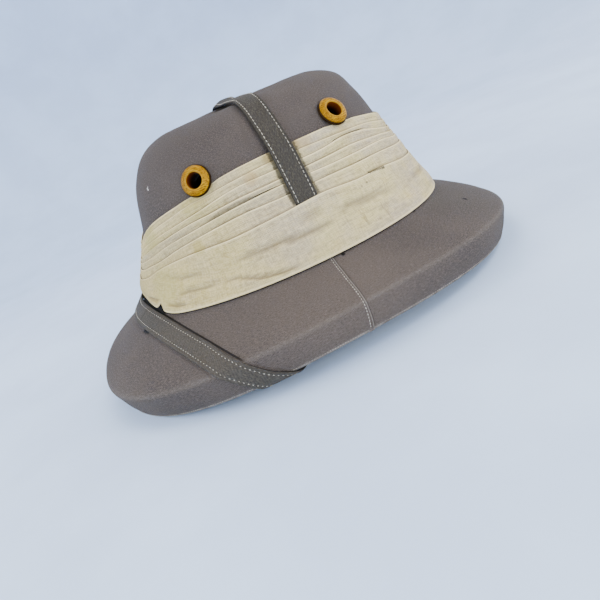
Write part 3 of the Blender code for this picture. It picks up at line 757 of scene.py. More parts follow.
# Over a folded edge and down behind it: mm above the edge, mm behind the crest, 1 where painted
# shade darkens it.
EDGE_SHAPE = ((-0.5, 0.0, 0), (-0.18, 0.03, 0), (0.0, 0.16, 0), (0.06, 0.3, 0), (0.0, 0.44, 0),
              (-0.3, 0.53, 1), (-1.2, 0.56, 1), (-TUCK, 0.58, 1))
# Down in a tuck, against the pleat that comes out of it: mm above the edge, mm further in.
TUCK_SHAPE = ((-TUCK, 0.12), (-1.2, 0.05), (-0.25, 0.0))
PLEAT_SHARES = (0.05, 0.13, 0.25, 0.4, 0.56, 0.72, 0.86, 0.95)
BACK_SHARES = (0.06, 0.2, 0.45, 0.7, 0.9, 1.0)
TOP_INSIDE = 0.35               # darkness behind the top fold, where light gets in
# Where a tuck's painted shade reaches further up the pleat, on the right: the fold below it,
# angle and half-width.
WIDE_TUCK_SHADE = ("second", -110.5, 10.0)

rows_up, rows_out, rows_tuck_shade = [], [], []


def add_row(up, out, tuck_shade):
    for store, value in ((rows_up, up), (rows_out, out), (rows_tuck_shade, tuck_shade)):
        store.append(value + np.zeros_like(band_angles))


def add_pleat(low_name, name):
    """Rows up one pleat, out of the tuck behind the fold below it."""
    gap = gap_depth(low_name, band_angles)
    edge, end = fold_height(low_name, band_angles), fold_height(name, band_angles)
    start_out = np.maximum(crest(low_name, band_angles) - CLOTH - 0.25 - 1.15 * gap, 0.5)
    if low_name == "wide_fold":
        start_out = start_out - 1.5 * under_strap(band_angles)
    end_out = crest(name, band_angles)
    for below, deeper in TUCK_SHAPE:
        add_row(edge + below, start_out - deeper, 1.0)
    # painted shade that reaches further up the pleat above one fold
    shaded_fold, shade_angle, half_width = WIDE_TUCK_SHADE
    spread_shade = np.exp(-((band_angles - shade_angle) / half_width) ** 4) * (low_name == shaded_fold)
    for share in PLEAT_SHARES:
        bulge = 0.30 * math.sin(math.pi * share)
        # painted shade at the foot of each pleat, deeper where its gap is open
        darkness = np.maximum(0.0, 1 - (share / (0.2 + 0.75 * spread_shade)) ** (1 + spread_shade))
        add_row(edge + (end - 0.5 - edge) * share,
                start_out + (end_out - start_out) * share ** 0.8 + bulge,
                darkness * (0.45 + 0.5 * gap))


bottom, fold_top = band_bottom(band_angles), fold_height("wide_fold", band_angles)
thickness = crest("wide_fold", band_angles) / WIDE_FOLD_THICKNESS
for above, out, dark in LOWER_LIP:
    add_row(bottom + above, out * thickness, dark)
for share, out in FOLD_SHAPE:
    add_row(bottom + (fold_top - bottom) * share, out * thickness, 0.0)
FOLD_ROWS = len(rows_up)
for low_name, name in zip(FOLD_NAMES, FOLD_NAMES[1:] + [None]):
    edge, edge_out = fold_height(low_name, band_angles), crest(low_name, band_angles)
    for above, inwards, dark in EDGE_SHAPE:
        add_row(edge + above, edge_out - inwards, dark * (1.0 if name else TOP_INSIDE))
    if name:
        add_pleat(low_name, name)
seat_low = np.maximum(BAND_SEAT, bottom + 3.0)
for share in BACK_SHARES:
    add_row(edge - TUCK + (seat_low - edge + TUCK) * share, 0.05, 1.0)
band_up, band_out, band_tuck_shade = (np.array(rows) for rows in (rows_up, rows_out, rows_tuck_shade))
print("band rows:", len(band_up), " columns:", len(band_angles))

# %% [markdown]
# Muslin that has been folded for years keeps creases. The longest ones are measured from the
# picture and pressed into the wide fold, and weaker waves in the cloth fill in between them.

# %% Press creases into the wide fold
# Points as (angle, height), then the depth and half-width in mm.
CREASES = (
    (((-119.0, 100.0), (-108.4, 99.5), (-101.2, 99.0), (-94.2, 97.3), (-88.5, 96.6),
      (-83.3, 98.2)), 3.2, 1.4),
    (((-83.3, 98.2), (-78.0, 101.4), (-72.4, 99.8), (-65.3, 99.2), (-55.0, 96.4)), 1.8, 2.3),
    (((-94.9, 104.2), (-89.5, 105.4), (-85.3, 104.6)), 1.3, 1.6),
    (((-125.0, 90.0), (-117.2, 87.6), (-111.1, 82.2), (-102.2, 79.4), (-97.1, 77.8)), 2.4, 1.3),
    (((-75.7, 98.3), (-74.9, 90.9), (-74.3, 81.1)), 1.1, 0.8),
    (((-67.6, 98.4), (-66.3, 88.9), (-66.0, 77.5)), 1.1, 0.8),
    (((-165.3, 88.2), (-159.1, 87.0), (-153.4, 85.6)), 2.2, 1.2),
    (((-150.0, 83.2), (-144.7, 80.9), (-139.0, 80.2)), 2.4, 1.1),
    (((-143.6, 88.0), (-136.6, 90.0), (-129.9, 88.9), (-123.5, 90.2)), 1.6, 1.6),
    (((-150.0, 104.0), (-139.0, 101.0), (-127.0, 99.0)), 1.3, 1.8),
    (((-45.0, 96.0), (-30.0, 93.5), (-16.0, 94.5)), 1.4, 1.8),
    (((-172.0, 105.8), (-160.0, 106.8), (-148.0, 106.5)), 0.5, 1.0),
    (((12.0, 92.0), (28.0, 90.0), (41.0, 93.0)), 1.6, 1.9),
    (((52.0, 99.0), (70.0, 96.0), (88.0, 98.5), (97.0, 96.5)), 2.4, 1.6),
    (((100.0, 86.0), (114.0, 82.5), (123.0, 84.0)), 1.8, 1.5),
    (((130.0, 101.0), (146.0, 98.0), (161.0, 93.0)), 1.4, 1.6),
)
MEAN_RADIUS = 114.0             # mm, of the band's outer face
HEM_UP, HEM_DEPTH = 4.6, 0.35   # mm, the faint line of the band's own hem above its lower edge


def crease_relief(angle, up, line, width):
    """1 at the bottom of a crease, below 0 on the lips beside it, and dying away at both ends."""
    x, y = np.radians(angle) * MEAN_RADIUS, up
    best = np.full(np.broadcast(x, y).shape, np.inf)
    share = np.zeros_like(best)
    for step, ((a0, u0), (a1, u1)) in enumerate(zip(line, line[1:])):
        x0, x1 = math.radians(a0) * MEAN_RADIUS, math.radians(a1) * MEAN_RADIUS
        dx, dy = x1 - x0, u1 - u0
        t = np.clip(((x - x0) * dx + (y - u0) * dy) / (dx * dx + dy * dy), 0, 1)
        away = np.hypot(x - x0 - t * dx, y - u0 - t * dy)
        share = np.where(away < best, (step + t) / (len(line) - 1), share)
        best = np.minimum(best, away)
    q = best / width
    return (np.exp(-q ** 2) - 0.35 * np.exp(-((q - 2.1) / 0.9) ** 2)) * np.sin(np.pi * share) ** 0.8


row_number = np.arange(len(band_up))[:, None]
outside = row_number < len(band_up) - len(BACK_SHARES)
on_fold = row_number < FOLD_ROWS
in_fold = (on_fold * ramp(band_up, bottom + 1.0, bottom + 5.0)
           * (1 - ramp(band_up, fold_top - 4.0, fold_top - 1.0)))
pressed = sum(depth * crease_relief(band_angles, band_up, line, width)
              for line, depth, width in CREASES)
hem_line = HEM_DEPTH * hump(band_up, bottom + HEM_UP, 0.7) * on_fold
waves = (0.42 * ripple(band_angles, band_up, (3, 11), 34, 21)
         + 0.20 * ripple(band_angles, band_up, (12, 34), 17, 22))
slack = 0.10 * ripple(band_angles, band_up * 0.4, (20, 60), 12, 23) * outside
band_out = band_out - pressed * in_fold - hem_line + waves * in_fold + slack * (band_out > 1.2)
band_out = np.maximum(band_out, 0.05)
# painted shade, by how deep the cloth lies: in creases, in the hem's groove and in wave hollows
band_crease_shade = np.clip(0.75 * pressed * in_fold + 0.9 * hem_line - 0.45 * waves * in_fold, 0.0, 1.0)
print("creases up to", round(float((pressed * in_fold).max()), 1), "mm deep")

# %% Lay the band flat under the ventilators, and mesh it
# The middle of each flange: x and height up the skin in mm, and how far its axis tilts, in degrees.
VENT_PLACES = (("front", 53.3, 149.8, 7.0), ("back", -48.4, 152.8, 4.0))
VENT_SEAT = 0.6 * MM            # that each flange stands off the shell
FLAT_RADIUS, FLAT_ENDS = 11.0, 15.5     # mm round a flange where the band is pressed flat

vent_seats = {}                 # where each flange meets the shell, and its outward direction
for end, x, up, tilt in VENT_PLACES:
    at = float(OUTER.angle_at(x, np.array(up)))
    for side, sign in (("left", 1), ("right", -1)):
        normal = Vector(OUTER.normal(np.array(sign * at), np.array(up)))
        level = Vector((0, 0, 1)).cross(normal)
        axis = Matrix.Rotation(math.radians(-tilt), 3, level) @ normal
        vent_seats[f"ventilator_{end}_{side}"] = (Vector(OUTER.point(sign * at, up)), axis)

on_shell = OUTER.offset(band_angles, band_up, np.full_like(band_up, GAP * MM))
for seat, _ in vent_seats.values():
    away = np.linalg.norm(on_shell - np.array(seat), axis=-1) / MM
    kept = np.where(band_out > 0.15, ramp(away, FLAT_RADIUS, FLAT_ENDS), 1.0)
    band_out = 0.15 + (band_out - 0.15) * kept
band_points = OUTER.offset(band_angles, band_up, (GAP + band_out) * MM)

# Painted highlights light the folded edges and the band's lower edge, and some pleats, named by
# the fold below them, are greyer, more so towards the back.
GREYED, LITTLE_GREY = {"second": 0.55, "third": 0.9, "lowest": 0.25}, 0.12
in_light = band_tuck_shade < 0.3
band_edge_highlight = 0.8 * hump(band_up, bottom + 0.5, 0.7) * in_light
band_grey = np.zeros_like(band_up)
from_front = np.abs(band_angles)
for name in FOLD_NAMES:
    near_edge = hump(band_up, fold_height(name, band_angles), 0.55)
    band_edge_highlight = np.maximum(band_edge_highlight, near_edge * in_light)
for lower, name in zip(FOLD_NAMES, FOLD_NAMES[1:]):
    low, high = fold_height(lower, band_angles), fold_height(name, band_angles)
    inside = ramp(band_up, low - 0.3, low + 0.6) * (1 - ramp(band_up, high - 0.8, high + 0.1))
    to_the_rear = 0.35 + 0.65 * ramp(from_front, 80.0, 110.0)
    uneven = 0.75 + 0.4 * ripple(band_angles, 0.0, (6, 18), 50, len(name))
    grey = GREYED.get(name, LITTLE_GREY) * to_the_rear * uneven
    band_grey = np.maximum(band_grey, grey * inside)
print("band:", round(float(np.ptp(band_points[..., 2])) * 1000, 1), "mm tall")

# %% [markdown]
# Muslin is a thin plain weave, cream when new. It has yellowed where sweat and rust came through.
# Some pleats are greyer towards the back, and painted shade darkens the tucks and creases. The
# weave's real threads are 0.4 mm apart and are drawn at 0.9 mm.

# %% Stains, threads and painted shadow on the muslin
THREAD_PITCH = 0.9 * MM
CROWN_STRAP_X = 8.0             # mm in front of the middle
SHADOW_ENDS, SHADOW_FADES, SHADOW_RAGGED = 9.5, 1.5, 3.0   # mm each side of the strap's middle
SHADOW_LOWEST = 94.5             # mm above the floor
BAND_STAINS = (
    # centre and radius in mm, strength, tint
    ((-67.0, -75.0, 93.5), 4.5, 0.45, "a08e3e"),
    ((-57.5, -70.5, 121.0), 9.0, 0.35, "ab9c58"),
    ((-92.3, -34.8, 106.2), 9.0, 0.40, "a39a55"),
    ((-98.0, -52.0, 74.0), 13.0, 0.40, "aba058"),
    ((97.3, -47.5, 107.0), 5.0, 0.35, "a58f45"),
    ((23.8, -83.7, 127.9), 4.5, 0.35, "a5854a"),
    ((54.5, -78.4, 120.0), 4.5, 0.30, "a58f50"),
    ((40.0, 92.0, 90.0), 8.0, 0.35, "ab9c58"),
    ((-60.0, 78.0, 112.0), 9.0, 0.35, "ab9c58"),
    ((-75.6, 101.1, 74.0), 5.0, 0.30, "a08e3e"),
    ((-18.2, -85.5, 121.4), 4.0, 0.50, "b08f58"),
    ((-2.4, -85.1, 127.9), 3.5, 0.60, "8c7440"),
    ((17.5, -84.7, 128.2), 3.5, 0.55, "93784a"),
    ((51.8, -92.1, 86.5), 0.7, 0.70, "4a4023"),
    ((46.8, -93.8, 86.0), 0.6, 0.60, "4a4023"),
)
# A slit where the fold has come open a little, drawn as painted shade in small spots along a line
# between these ends.
SLIT_ENDS, SLIT_SPOTS, SLIT_RADIUS = ((57.6, -87.5, 90.6), (70.2, -81.9, 88.2)), 9, 1.1
BAND_STAINS += tuple((tuple(place), SLIT_RADIUS, 0.9, "2a2313")
                     for place in np.linspace(*SLIT_ENDS, SLIT_SPOTS).tolist())


def weave_height(tree, cloth):
    """A plain weave: two sets of threads at right angles, each a little uneven."""
    wave = {"Vector": cloth, "Scale": WAVE_PERIOD / THREAD_PITCH, "Distortion": 1.6,
            "Detail": 2.0, "Detail Scale": 1.3}
    warp, weft = (add_node(tree, "ShaderNodeTexWave", wave, bands_direction=way).outputs["Fac"]
                  for way in ("X", "Y"))
    both = add_node(tree, "ShaderNodeMath", (warp, weft), operation="ADD")
    return add_node(tree, "ShaderNodeMath", (both, 0.5), operation="MULTIPLY")


def strap_shadow_line(tree, place, x, z):
    """1 in the ragged dark line of painted shadow along both edges of the crown strap."""
    across = add_node(tree, "ShaderNodeMath", (x, CROWN_STRAP_X * MM), operation="SUBTRACT")
    across = add_node(tree, "ShaderNodeMath", (across,), operation="ABSOLUTE")
    fringe = add_node(tree, "ShaderNodeMath", (lumps(tree, place, 1.6), 0.5), operation="SUBTRACT")
    across = add_node(tree, "ShaderNodeMath", (fringe, SHADOW_RAGGED * MM, across),
                      operation="MULTIPLY_ADD")
    near = add_node(tree, "ShaderNodeMapRange",
                    (across, (SHADOW_ENDS + SHADOW_FADES) * MM, SHADOW_ENDS * MM), **SMOOTH)
    above = add_node(tree, "ShaderNodeMapRange",
                     (z, SHADOW_LOWEST * MM, (SHADOW_LOWEST + 1.5) * MM), **SMOOTH)
    return add_node(tree, "ShaderNodeMath", (near, above), operation="MULTIPLY")


print("muslin's threads:", round(THREAD_PITCH / MM, 1), "mm apart;", len(BAND_STAINS), "stains")

# %% The pleated muslin, and the band's mesh
def muslin(name):
    """Cream muslin: thick and thin threads, yellow at the rear, grey pleats, painted highlight and
    shade.
    """
    material, tree = new_material(name)
    place = add_node(tree, "ShaderNodeTexCoord").outputs["Object"]
    cloth = add_node(tree, "ShaderNodeUVMap", uv_map="UVMap")
    x, _, z = add_node(tree, "ShaderNodeSeparateXYZ", (place,)).outputs
    weave = weave_height(tree, cloth)
    slub = lumps(tree, cloth, 2.0, 5.0, 0.7, stretch=(0.4, 2.0, 1.0))
    cross = lumps(tree, cloth, 2.2, 4.0, 0.65, stretch=(2.0, 0.35, 1.0))
    streak = lumps(tree, cloth, 4.0, 4.0, 0.6, stretch=(0.14, 1.3, 1.0))
    line = lumps(tree, cloth, 1.1, 2.0, 0.5, stretch=(0.03, 1.0, 1.0))
    patch = lumps(tree, place, 40.0, 4.0, 0.55)
    small = lumps(tree, place, 14.0, 4.0, 0.6)
    ragged = add_node(tree, "ShaderNodeMath", (lumps(tree, place, 5.0), 0.5), operation="SUBTRACT")
    high = add_node(tree, "ShaderNodeMapRange", (z, 80.0 * MM, 105.0 * MM), **SMOOTH)
    dark, pale = (add_node(tree, "ShaderNodeMapRange", (line, *ends), **SMOOTH)
                  for ends in ((0.44, 0.34), (0.56, 0.66)))
    dark_lines, pale_lines = (add_node(tree, "ShaderNodeMath", (high, thread), operation="MULTIPLY")
                              for thread in (dark, pale))
    grey, crease, wear_and_highlight, tuck_shade = (
        add_node(tree, "ShaderNodeAttribute", attribute_name=mark).outputs["Fac"]
        for mark in ("grey", "crease", "wear_and_highlight", "tuck_shade"))
    colour = two_tones(tree, patch, 0.40, 0.60, "b4a48f", "c8b880")
    colour = layered(tree, colour, (
        (x, 20.0 * MM, -90.0 * MM, 0.75, "c4af67"),
        (small, 0.52, 0.70, 0.45, "bea660"),
        (streak, 0.50, 0.34, 0.50, "918262")))
    colour = worked(tree, colour, dark_lines, 0.55, "85754e")
    colour = worked(tree, colour, pale_lines, 0.60, "dfcb96")
    colour = worked(tree, colour, grey, 0.90, "988b75")
    colour = layered(tree, colour, (
        (slub, 0.42, 0.68, 0.60, "ddc998"),
        (slub, 0.50, 0.32, 0.45, "93825a"),
        (cross, 0.48, 0.66, 0.45, "ddc998"),
        (cross, 0.50, 0.34, 0.35, "93825a"),
        (weave, 0.42, 0.05, 0.50, "6f623e")))
    # painted shade in the creases
    colour = worked(tree, colour, crease, 0.65, "796b50")
    # painted highlights on the folded edges and along the lower edge
    colour = worked(tree, colour, wear_and_highlight, 0.90, "f1dda9")
    colour = spotted(tree, colour, place, ragged, BAND_STAINS)
    # painted shadow beside the crown strap
    colour = worked(tree, colour, strap_shadow_line(tree, place, x, z), 0.80, "3d372b")
    # painted shade in the tucks, behind the folds and under the lower edge
    colour = worked(tree, colour, tuck_shade, 0.90, "362d18")
    height = add_node(tree, "ShaderNodeMath", (weave, 0.6), operation="MULTIPLY")
    height = add_node(tree, "ShaderNodeMath", (height, slub), operation="ADD")
    finish_cloth(tree, colour, height, 0.42 * MM, 0.9, 0.03)
    return material


band_marks = {"tuck_shade": band_tuck_shade, "wear_and_highlight": band_edge_highlight, "grey": band_grey, "crease": band_crease_shade}
puggaree = grid_object("puggaree_band", band_points,
                       arc_uv(np.concatenate([band_points, band_points[:1]])), band_marks,
                       [muslin("yellowed muslin, plain-woven and pleated")], closed_rows=True)
print("band:", triangles(puggaree), "triangles")

# %% [markdown]
# ## Straps by Geometry Nodes
#
# A strap is a strip of drill folded in at both edges and sewn down with a row of stitches beside
# each fold, so it is thick at its edges and pulled in along its two rows. Its shape is a rule:
# one section that follows a line. The tree below sweeps that section and is used for both straps.

# %% Begin and end a tree
def new_tree(name, inputs):
    """A Geometry Nodes tree with these named inputs; returns it with its input sockets."""
    tree = bpy.data.node_groups.new(name, "GeometryNodeTree")
    tree.interface.new_socket("Geometry", in_out="INPUT", socket_type="NodeSocketGeometry")
    for label, kind in inputs:
        tree.interface.new_socket(label, in_out="INPUT", socket_type="NodeSocket" + kind)
    tree.interface.new_socket("Geometry", in_out="OUTPUT", socket_type="NodeSocketGeometry")
    return tree, add_node(tree, "NodeGroupInput").outputs


def end_tree(tree, geometry, material):
    """Every tree ends in real geometry with its material on it."""
    smooth = add_node(tree, "GeometryNodeSetShadeSmooth", {"Geometry": geometry})
    real = add_node(tree, "GeometryNodeRealizeInstances", (smooth,))
    dressed = add_node(tree, "GeometryNodeSetMaterial", {"Geometry": real, "Material": material})
    add_node(tree, "NodeGroupOutput", (dressed,))
    print("tree:", tree.name, "with", len(tree.nodes), "nodes")
    return tree

# %% The strap's section, and how its stitches pull it in
SECTION_POINTS = 64             # round the strap's section
ROW_REACH = 0.75 * MM           # each side of a row of stitches, where it pulls the cloth in


def strap_section(tree, given):
    """A rounded box, kept with each point's place across the strap, way round it and depth."""
    section = add_node(tree, "GeometryNodeCurvePrimitiveQuadrilateral",
                       {"Width": given["Thickness"], "Height": given["Width"]})
    corner = add_node(tree, "ShaderNodeMath", (given["Thickness"], 0.42), operation="MULTIPLY")
    section = add_node(tree, "GeometryNodeFilletCurve", {
        "Curve": section, "Count": 4, "Radius": corner}, mode="POLY")
    section = add_node(tree, "GeometryNodeResampleCurve", {
        "Curve": section, "Count": SECTION_POINTS})
    place = add_node(tree, "GeometryNodeInputPosition")
    depth, across, _ = add_node(tree, "ShaderNodeSeparateXYZ", (place,)).outputs
    way_round = add_node(tree, "GeometryNodeSplineParameter").outputs["Length"]
    kept = add_node(tree, "GeometryNodeCaptureAttribute", (section,), domain="POINT")
    for label in ("Across", "Round", "Depth"):
        kept.capture_items.new("FLOAT", label)
    for number, value in enumerate((across, way_round, depth), start=1):
        tree.links.new(value, kept.inputs[number])
    return kept.outputs


def row_sink(tree, across, given):
    """How far the cloth is pulled in along its two rows of stitches, by steps of arithmetic."""
    half_width = add_node(tree, "ShaderNodeMath", (given["Width"], 0.5), operation="MULTIPLY")
    row = add_node(tree, "ShaderNodeMath", (half_width, given["Row Inset"]), operation="SUBTRACT")
    sink = across
    for operation, *by in (("ABSOLUTE",), ("SUBTRACT", row), ("DIVIDE", ROW_REACH), ("ABSOLUTE",),
                           ("POWER", 2.0), ("MULTIPLY", -1.0), ("EXPONENT",),
                           ("MULTIPLY", given["Pull"]), ("MULTIPLY", -1.0)):
        sink = add_node(tree, "ShaderNodeMath", (sink, *by), operation=operation)
    return sink


print("strap's section:", SECTION_POINTS, "points round it")

# %% The tree that sweeps a folded strap
def strap_tree():
    tree, given = new_tree("Folded strap", [
        ("Width", "Float"), ("Thickness", "Float"), ("Row Inset", "Float"), ("Pull", "Float"),
        ("Cloth", "Material")])
    out, slant = (add_node(tree, "GeometryNodeInputNamedAttribute", {"Name": name},
                           data_type="FLOAT_VECTOR").outputs["Attribute"]
                  for name in ("out", "slant"))
    line = add_node(tree, "GeometryNodeMeshToCurve", {"Mesh": given["Geometry"]})
    line = add_node(tree, "GeometryNodeSetCurveNormal", {"Curve": line, "Normal": out}, mode="FREE")
    along = add_node(tree, "GeometryNodeSplineParameter").outputs["Length"]
    kept_line = add_node(tree, "GeometryNodeCaptureAttribute", (line,), domain="POINT")
    kept_line.capture_items.new("FLOAT", "Along")
    tree.links.new(along, kept_line.inputs[1])
    section, across, way_round, depth = tuple(strap_section(tree, given))[:4]
    swept = add_node(tree, "GeometryNodeCurveToMesh", {
        "Curve": kept_line, "Profile Curve": section, "Fill Caps": True})
    normal = add_node(tree, "GeometryNodeInputNormal")
    push = add_node(tree, "ShaderNodeVectorMath", {
        0: normal, "Scale": row_sink(tree, across, given)}, operation="SCALE")
    half_width = add_node(tree, "ShaderNodeMath", (given["Width"], 0.5), operation="MULTIPLY")
    edge_share = add_node(tree, "ShaderNodeMath", (across, half_width), operation="DIVIDE")
    slanted = add_node(tree, "ShaderNodeVectorMath", {0: slant, "Scale": edge_share},
                       operation="SCALE")
    moved = add_node(tree, "ShaderNodeVectorMath", (push, slanted))
    shaped = add_node(tree, "GeometryNodeSetPosition", {"Geometry": swept, "Offset": moved})
    flat = add_node(tree, "ShaderNodeCombineXYZ", {"X": kept_line.outputs[1], "Y": way_round})
    unrolled = add_node(tree, "GeometryNodeStoreNamedAttribute", {
        "Geometry": shaped, "Name": "UVMap", "Value": flat},
        data_type="FLOAT2", domain="CORNER")
    # painted shade on the strap's underside and on the lower part of its edges
    share = add_node(tree, "ShaderNodeMath", (depth, given["Thickness"]), operation="DIVIDE")
    underside_shade = add_node(tree, "ShaderNodeMapRange", (share, 0.36, 0.0), **SMOOTH)
    marked = add_node(tree, "GeometryNodeStoreNamedAttribute", {
        "Geometry": unrolled, "Name": "painted_shade", "Value": underside_shade},
        data_type="FLOAT", domain="POINT")
    return end_tree(tree, marked, given["Cloth"])


folded_strap = strap_tree()

# %% Run a tree and keep plain mesh
def line_object(name, lines):
    """A mesh of open lines: points, outward directions and perhaps slants, each (n, 3)."""
    verts, edges, outs, slants, first = [], [], [], [], 0
    for points, out, *slant in lines:
        verts += [tuple(p) for p in points]
        outs += [tuple(n) for n in out]
        slants += [tuple(v) for v in (slant[0] if slant else 0 * points)]
        edges += [(first + i, first + i + 1) for i in range(len(points) - 1)]
        first += len(points)
    mesh = bpy.data.meshes.new(name)
    mesh.from_pydata(verts, edges, [])
    for label, vectors in (("out", outs), ("slant", slants)):
        mesh.attributes.new(label, "FLOAT_VECTOR", "POINT").data.foreach_set(
            "vector", np.array(vectors, np.float32).ravel())
    return add_object(name, mesh)


def vertex_places(mesh):
    return np.array([v.co for v in mesh.vertices])


def signed_volume(mesh):
    """Positive where the faces of a closed mesh point outwards, in cubic metres."""
    mesh.calc_loop_triangles()
    places = vertex_places(mesh)
    a, b, c = (places[[t.vertices[i] for t in mesh.loop_triangles]] for i in range(3))
    return float(np.einsum("ij,ij->", a, np.cross(b, c)) / 6)


def keep_result(obj, modifier):
    """Gives obj the plain mesh that the modifier makes of it, and takes the modifier off."""
    bpy.context.view_layer.update()
    evaluated = obj.evaluated_get(bpy.context.evaluated_depsgraph_get())
    mesh = bpy.data.meshes.new_from_object(evaluated)
    obj.modifiers.remove(modifier)
    old, obj.data = obj.data, mesh
    bpy.data.meshes.remove(old)
    mesh.name = obj.name


def run_tree(obj, tree, values):
    """Sets the tree's inputs on obj by their identifiers, and turns the result into plain mesh."""
    modifier = obj.modifiers.new(tree.name, "NODES")
    modifier.node_group = tree
    sockets = {item.name: item.identifier for item in tree.interface.items_tree
               if item.in_out == "INPUT"}
    for label, value in values.items():
        modifier[sockets[label]] = value
    keep_result(obj, modifier)
    if signed_volume(obj.data) < 0:
        obj.data.flip_normals()


STRAP_WIDTH, STRAP_THICKNESS = 16.0 * MM, 1.6 * MM
STITCH_PULL = 0.28 * MM
CROWN_INSET, CHIN_INSET = 2.0 * MM, 2.9 * MM    # of each strap's rows of stitches


def sweep_strap(name, line, row_inset, cloth):
    strap = line_object(name, [line])
    run_tree(strap, folded_strap, {
        "Width": STRAP_WIDTH, "Thickness": STRAP_THICKNESS, "Row Inset": row_inset,
        "Pull": STITCH_PULL, "Cloth": cloth})
    return strap

# %% [markdown]
# ## The crown strap
#
# The short strap is pulled tight over the crown, so it lies on the highest places only: it
# bridges the dent in the top and rides over the pleats, and its ends go down behind the wide
# fold. A taut line over points is their convex hull.

# %% The taut line over the crown
STRAP_LIFT = 0.45               # mm between the strap's underside and the crown
SIDE_SHARE, TOP_SHARE = 0.9, 0.4        # of that lift, sideways and upwards over the pleats
CROWN_FROM = 138.0              # mm up the skin, from where the strap may touch the crown
LOWEST_TOUCH = 116.0            # mm up the skin, the lowest pleat that the strap presses on
TAIL, TUCKED_IN = 10.0, 1.6     # mm of strap below that pleat, and how far it dives
BUCKLE = ((2.2, 31.0, 11.0), (0.7, -12.0, 26.0))    # mm up, and where along y and over how far


def upper_hull(cloud):
    """The taut line over a cloud of (y, z) points, from the lowest y to the highest."""
    hull = []
    for y, z in sorted(set(cloud)):
        while len(hull) > 1 and ((hull[-1][0] - hull[-2][0]) * (z - hull[-2][1])
                                 - (hull[-1][1] - hull[-2][1]) * (y - hull[-2][0])) >= 0:
            hull.pop()
        hull.append((y, z))
    return hull


def taut_line(x):
    """Points from right to left in the plane of this x: the hull of crown and band, in mm."""
    cloud = []
    for up in np.linspace(CROWN_FROM, OUTER.up["dent_floor"], 90):
        at = OUTER.angle_at(x, np.array(up))
        y, z = OUTER.offset(at, np.array(up), STRAP_LIFT * MM)[1:] / MM
        cloud += [(y, z), (-y, z)]
    near = np.abs(band_points[..., 0] / MM - x)
    for half in (band_angles < 0, band_angles >= 0):
        half_columns = np.where(half)[0]
        for row in range(len(band_points)):
            best = half_columns[np.argmin(near[row, half_columns])]
            if band_up[row, best] > LOWEST_TOUCH:
                _, y, z = band_points[row, best] / MM
                cloud.append((y + math.copysign(STRAP_LIFT * SIDE_SHARE, y),
                              z + STRAP_LIFT * TOP_SHARE))
    return np.array([(x, y, z) for y, z in upper_hull(cloud)])


def resample(points, count):
    along = running_length(points)
    marks = np.linspace(0, along[-1], count)
    return np.stack([np.interp(marks, along, points[:, i]) for i in range(3)], axis=1), along[-1]


def soften(points, times):
    for _ in range(times):
        points[1:-1] = points[1:-1] * 0.5 + (points[:-2] + points[2:]) * 0.25
    return points


def tail_end(last, before):
    """Where a tail ends that goes straight on from the line's last point and dives inwards."""
    inwards = np.array([0.0, np.sign(last[1]), 0.0])
    return last + TAIL * unit(last - before) - TUCKED_IN * inwards


hull_line = taut_line(CROWN_STRAP_X)
hull_line = np.vstack([tail_end(hull_line[0], hull_line[1]), hull_line,
                       tail_end(hull_line[-1], hull_line[-2])])
under, crown_strap_length = resample(hull_line, 200)
under = soften(under, 2)
for rise, at, reach in BUCKLE:
    under[:, 2] += rise * hump(under[:, 1], at, reach)
strap_out = unit(np.cross(np.array([1.0, 0.0, 0.0]), np.gradient(under, axis=0)))
strap_out = strap_out * np.sign(strap_out[len(strap_out) // 2, 2])
crown_middle = (under + strap_out * STRAP_THICKNESS / MM / 2) * MM
print("crown strap:", round(crown_strap_length, 1), "mm long, top at",
      round(float(crown_middle[:, 2].max()) * 1000, 1), "mm")

# %% Sweep the crown strap
MIDDLE_RISE, BUCKLE_RISE = 0.5, 0.3     # mm that its middle stands up, and more where it buckles
REAR_DROP = 1.9                 # mm that its rear edge sinks back to the crown there
BENT_ABOVE = 0.14               # metres above the floor


def cup(points):
    """How far the strap is bent up in its middle and down at its rear edge, in metres."""
    across = (points[:, 0] / MM - CROWN_STRAP_X) / (STRAP_WIDTH / MM / 2)
    _, at, reach = BUCKLE[0]
    buckled = hump(points[:, 1] / MM, at, reach)
    middle_up = (MIDDLE_RISE + BUCKLE_RISE * buckled) * (1 - across ** 2)
    rear_down = REAR_DROP * buckled * np.clip(-across, 0, 1) ** 2
    return (middle_up - rear_down) * MM * (points[:, 2] > BENT_ABOVE)


crown_strap = sweep_strap("crown_strap_cloth", (crown_middle, strap_out), CROWN_INSET, strap_drill)
bent = vertex_places(crown_strap.data)
bent[:, 2] += cup(bent)
crown_strap.data.vertices.foreach_set("co", bent.ravel())
print("crown strap spans", [round(d * 1000, 1) for d in crown_strap.dimensions], "mm")

# %% [markdown]
# ## The chin strap
#
# The long strap has been put up out of the way over the back of the brim. It starts inside the
# crown on the right, comes round the brim's edge, crosses the brim in a straight line, lies in
# the hollow behind the band, and goes round to the other side in the same way.

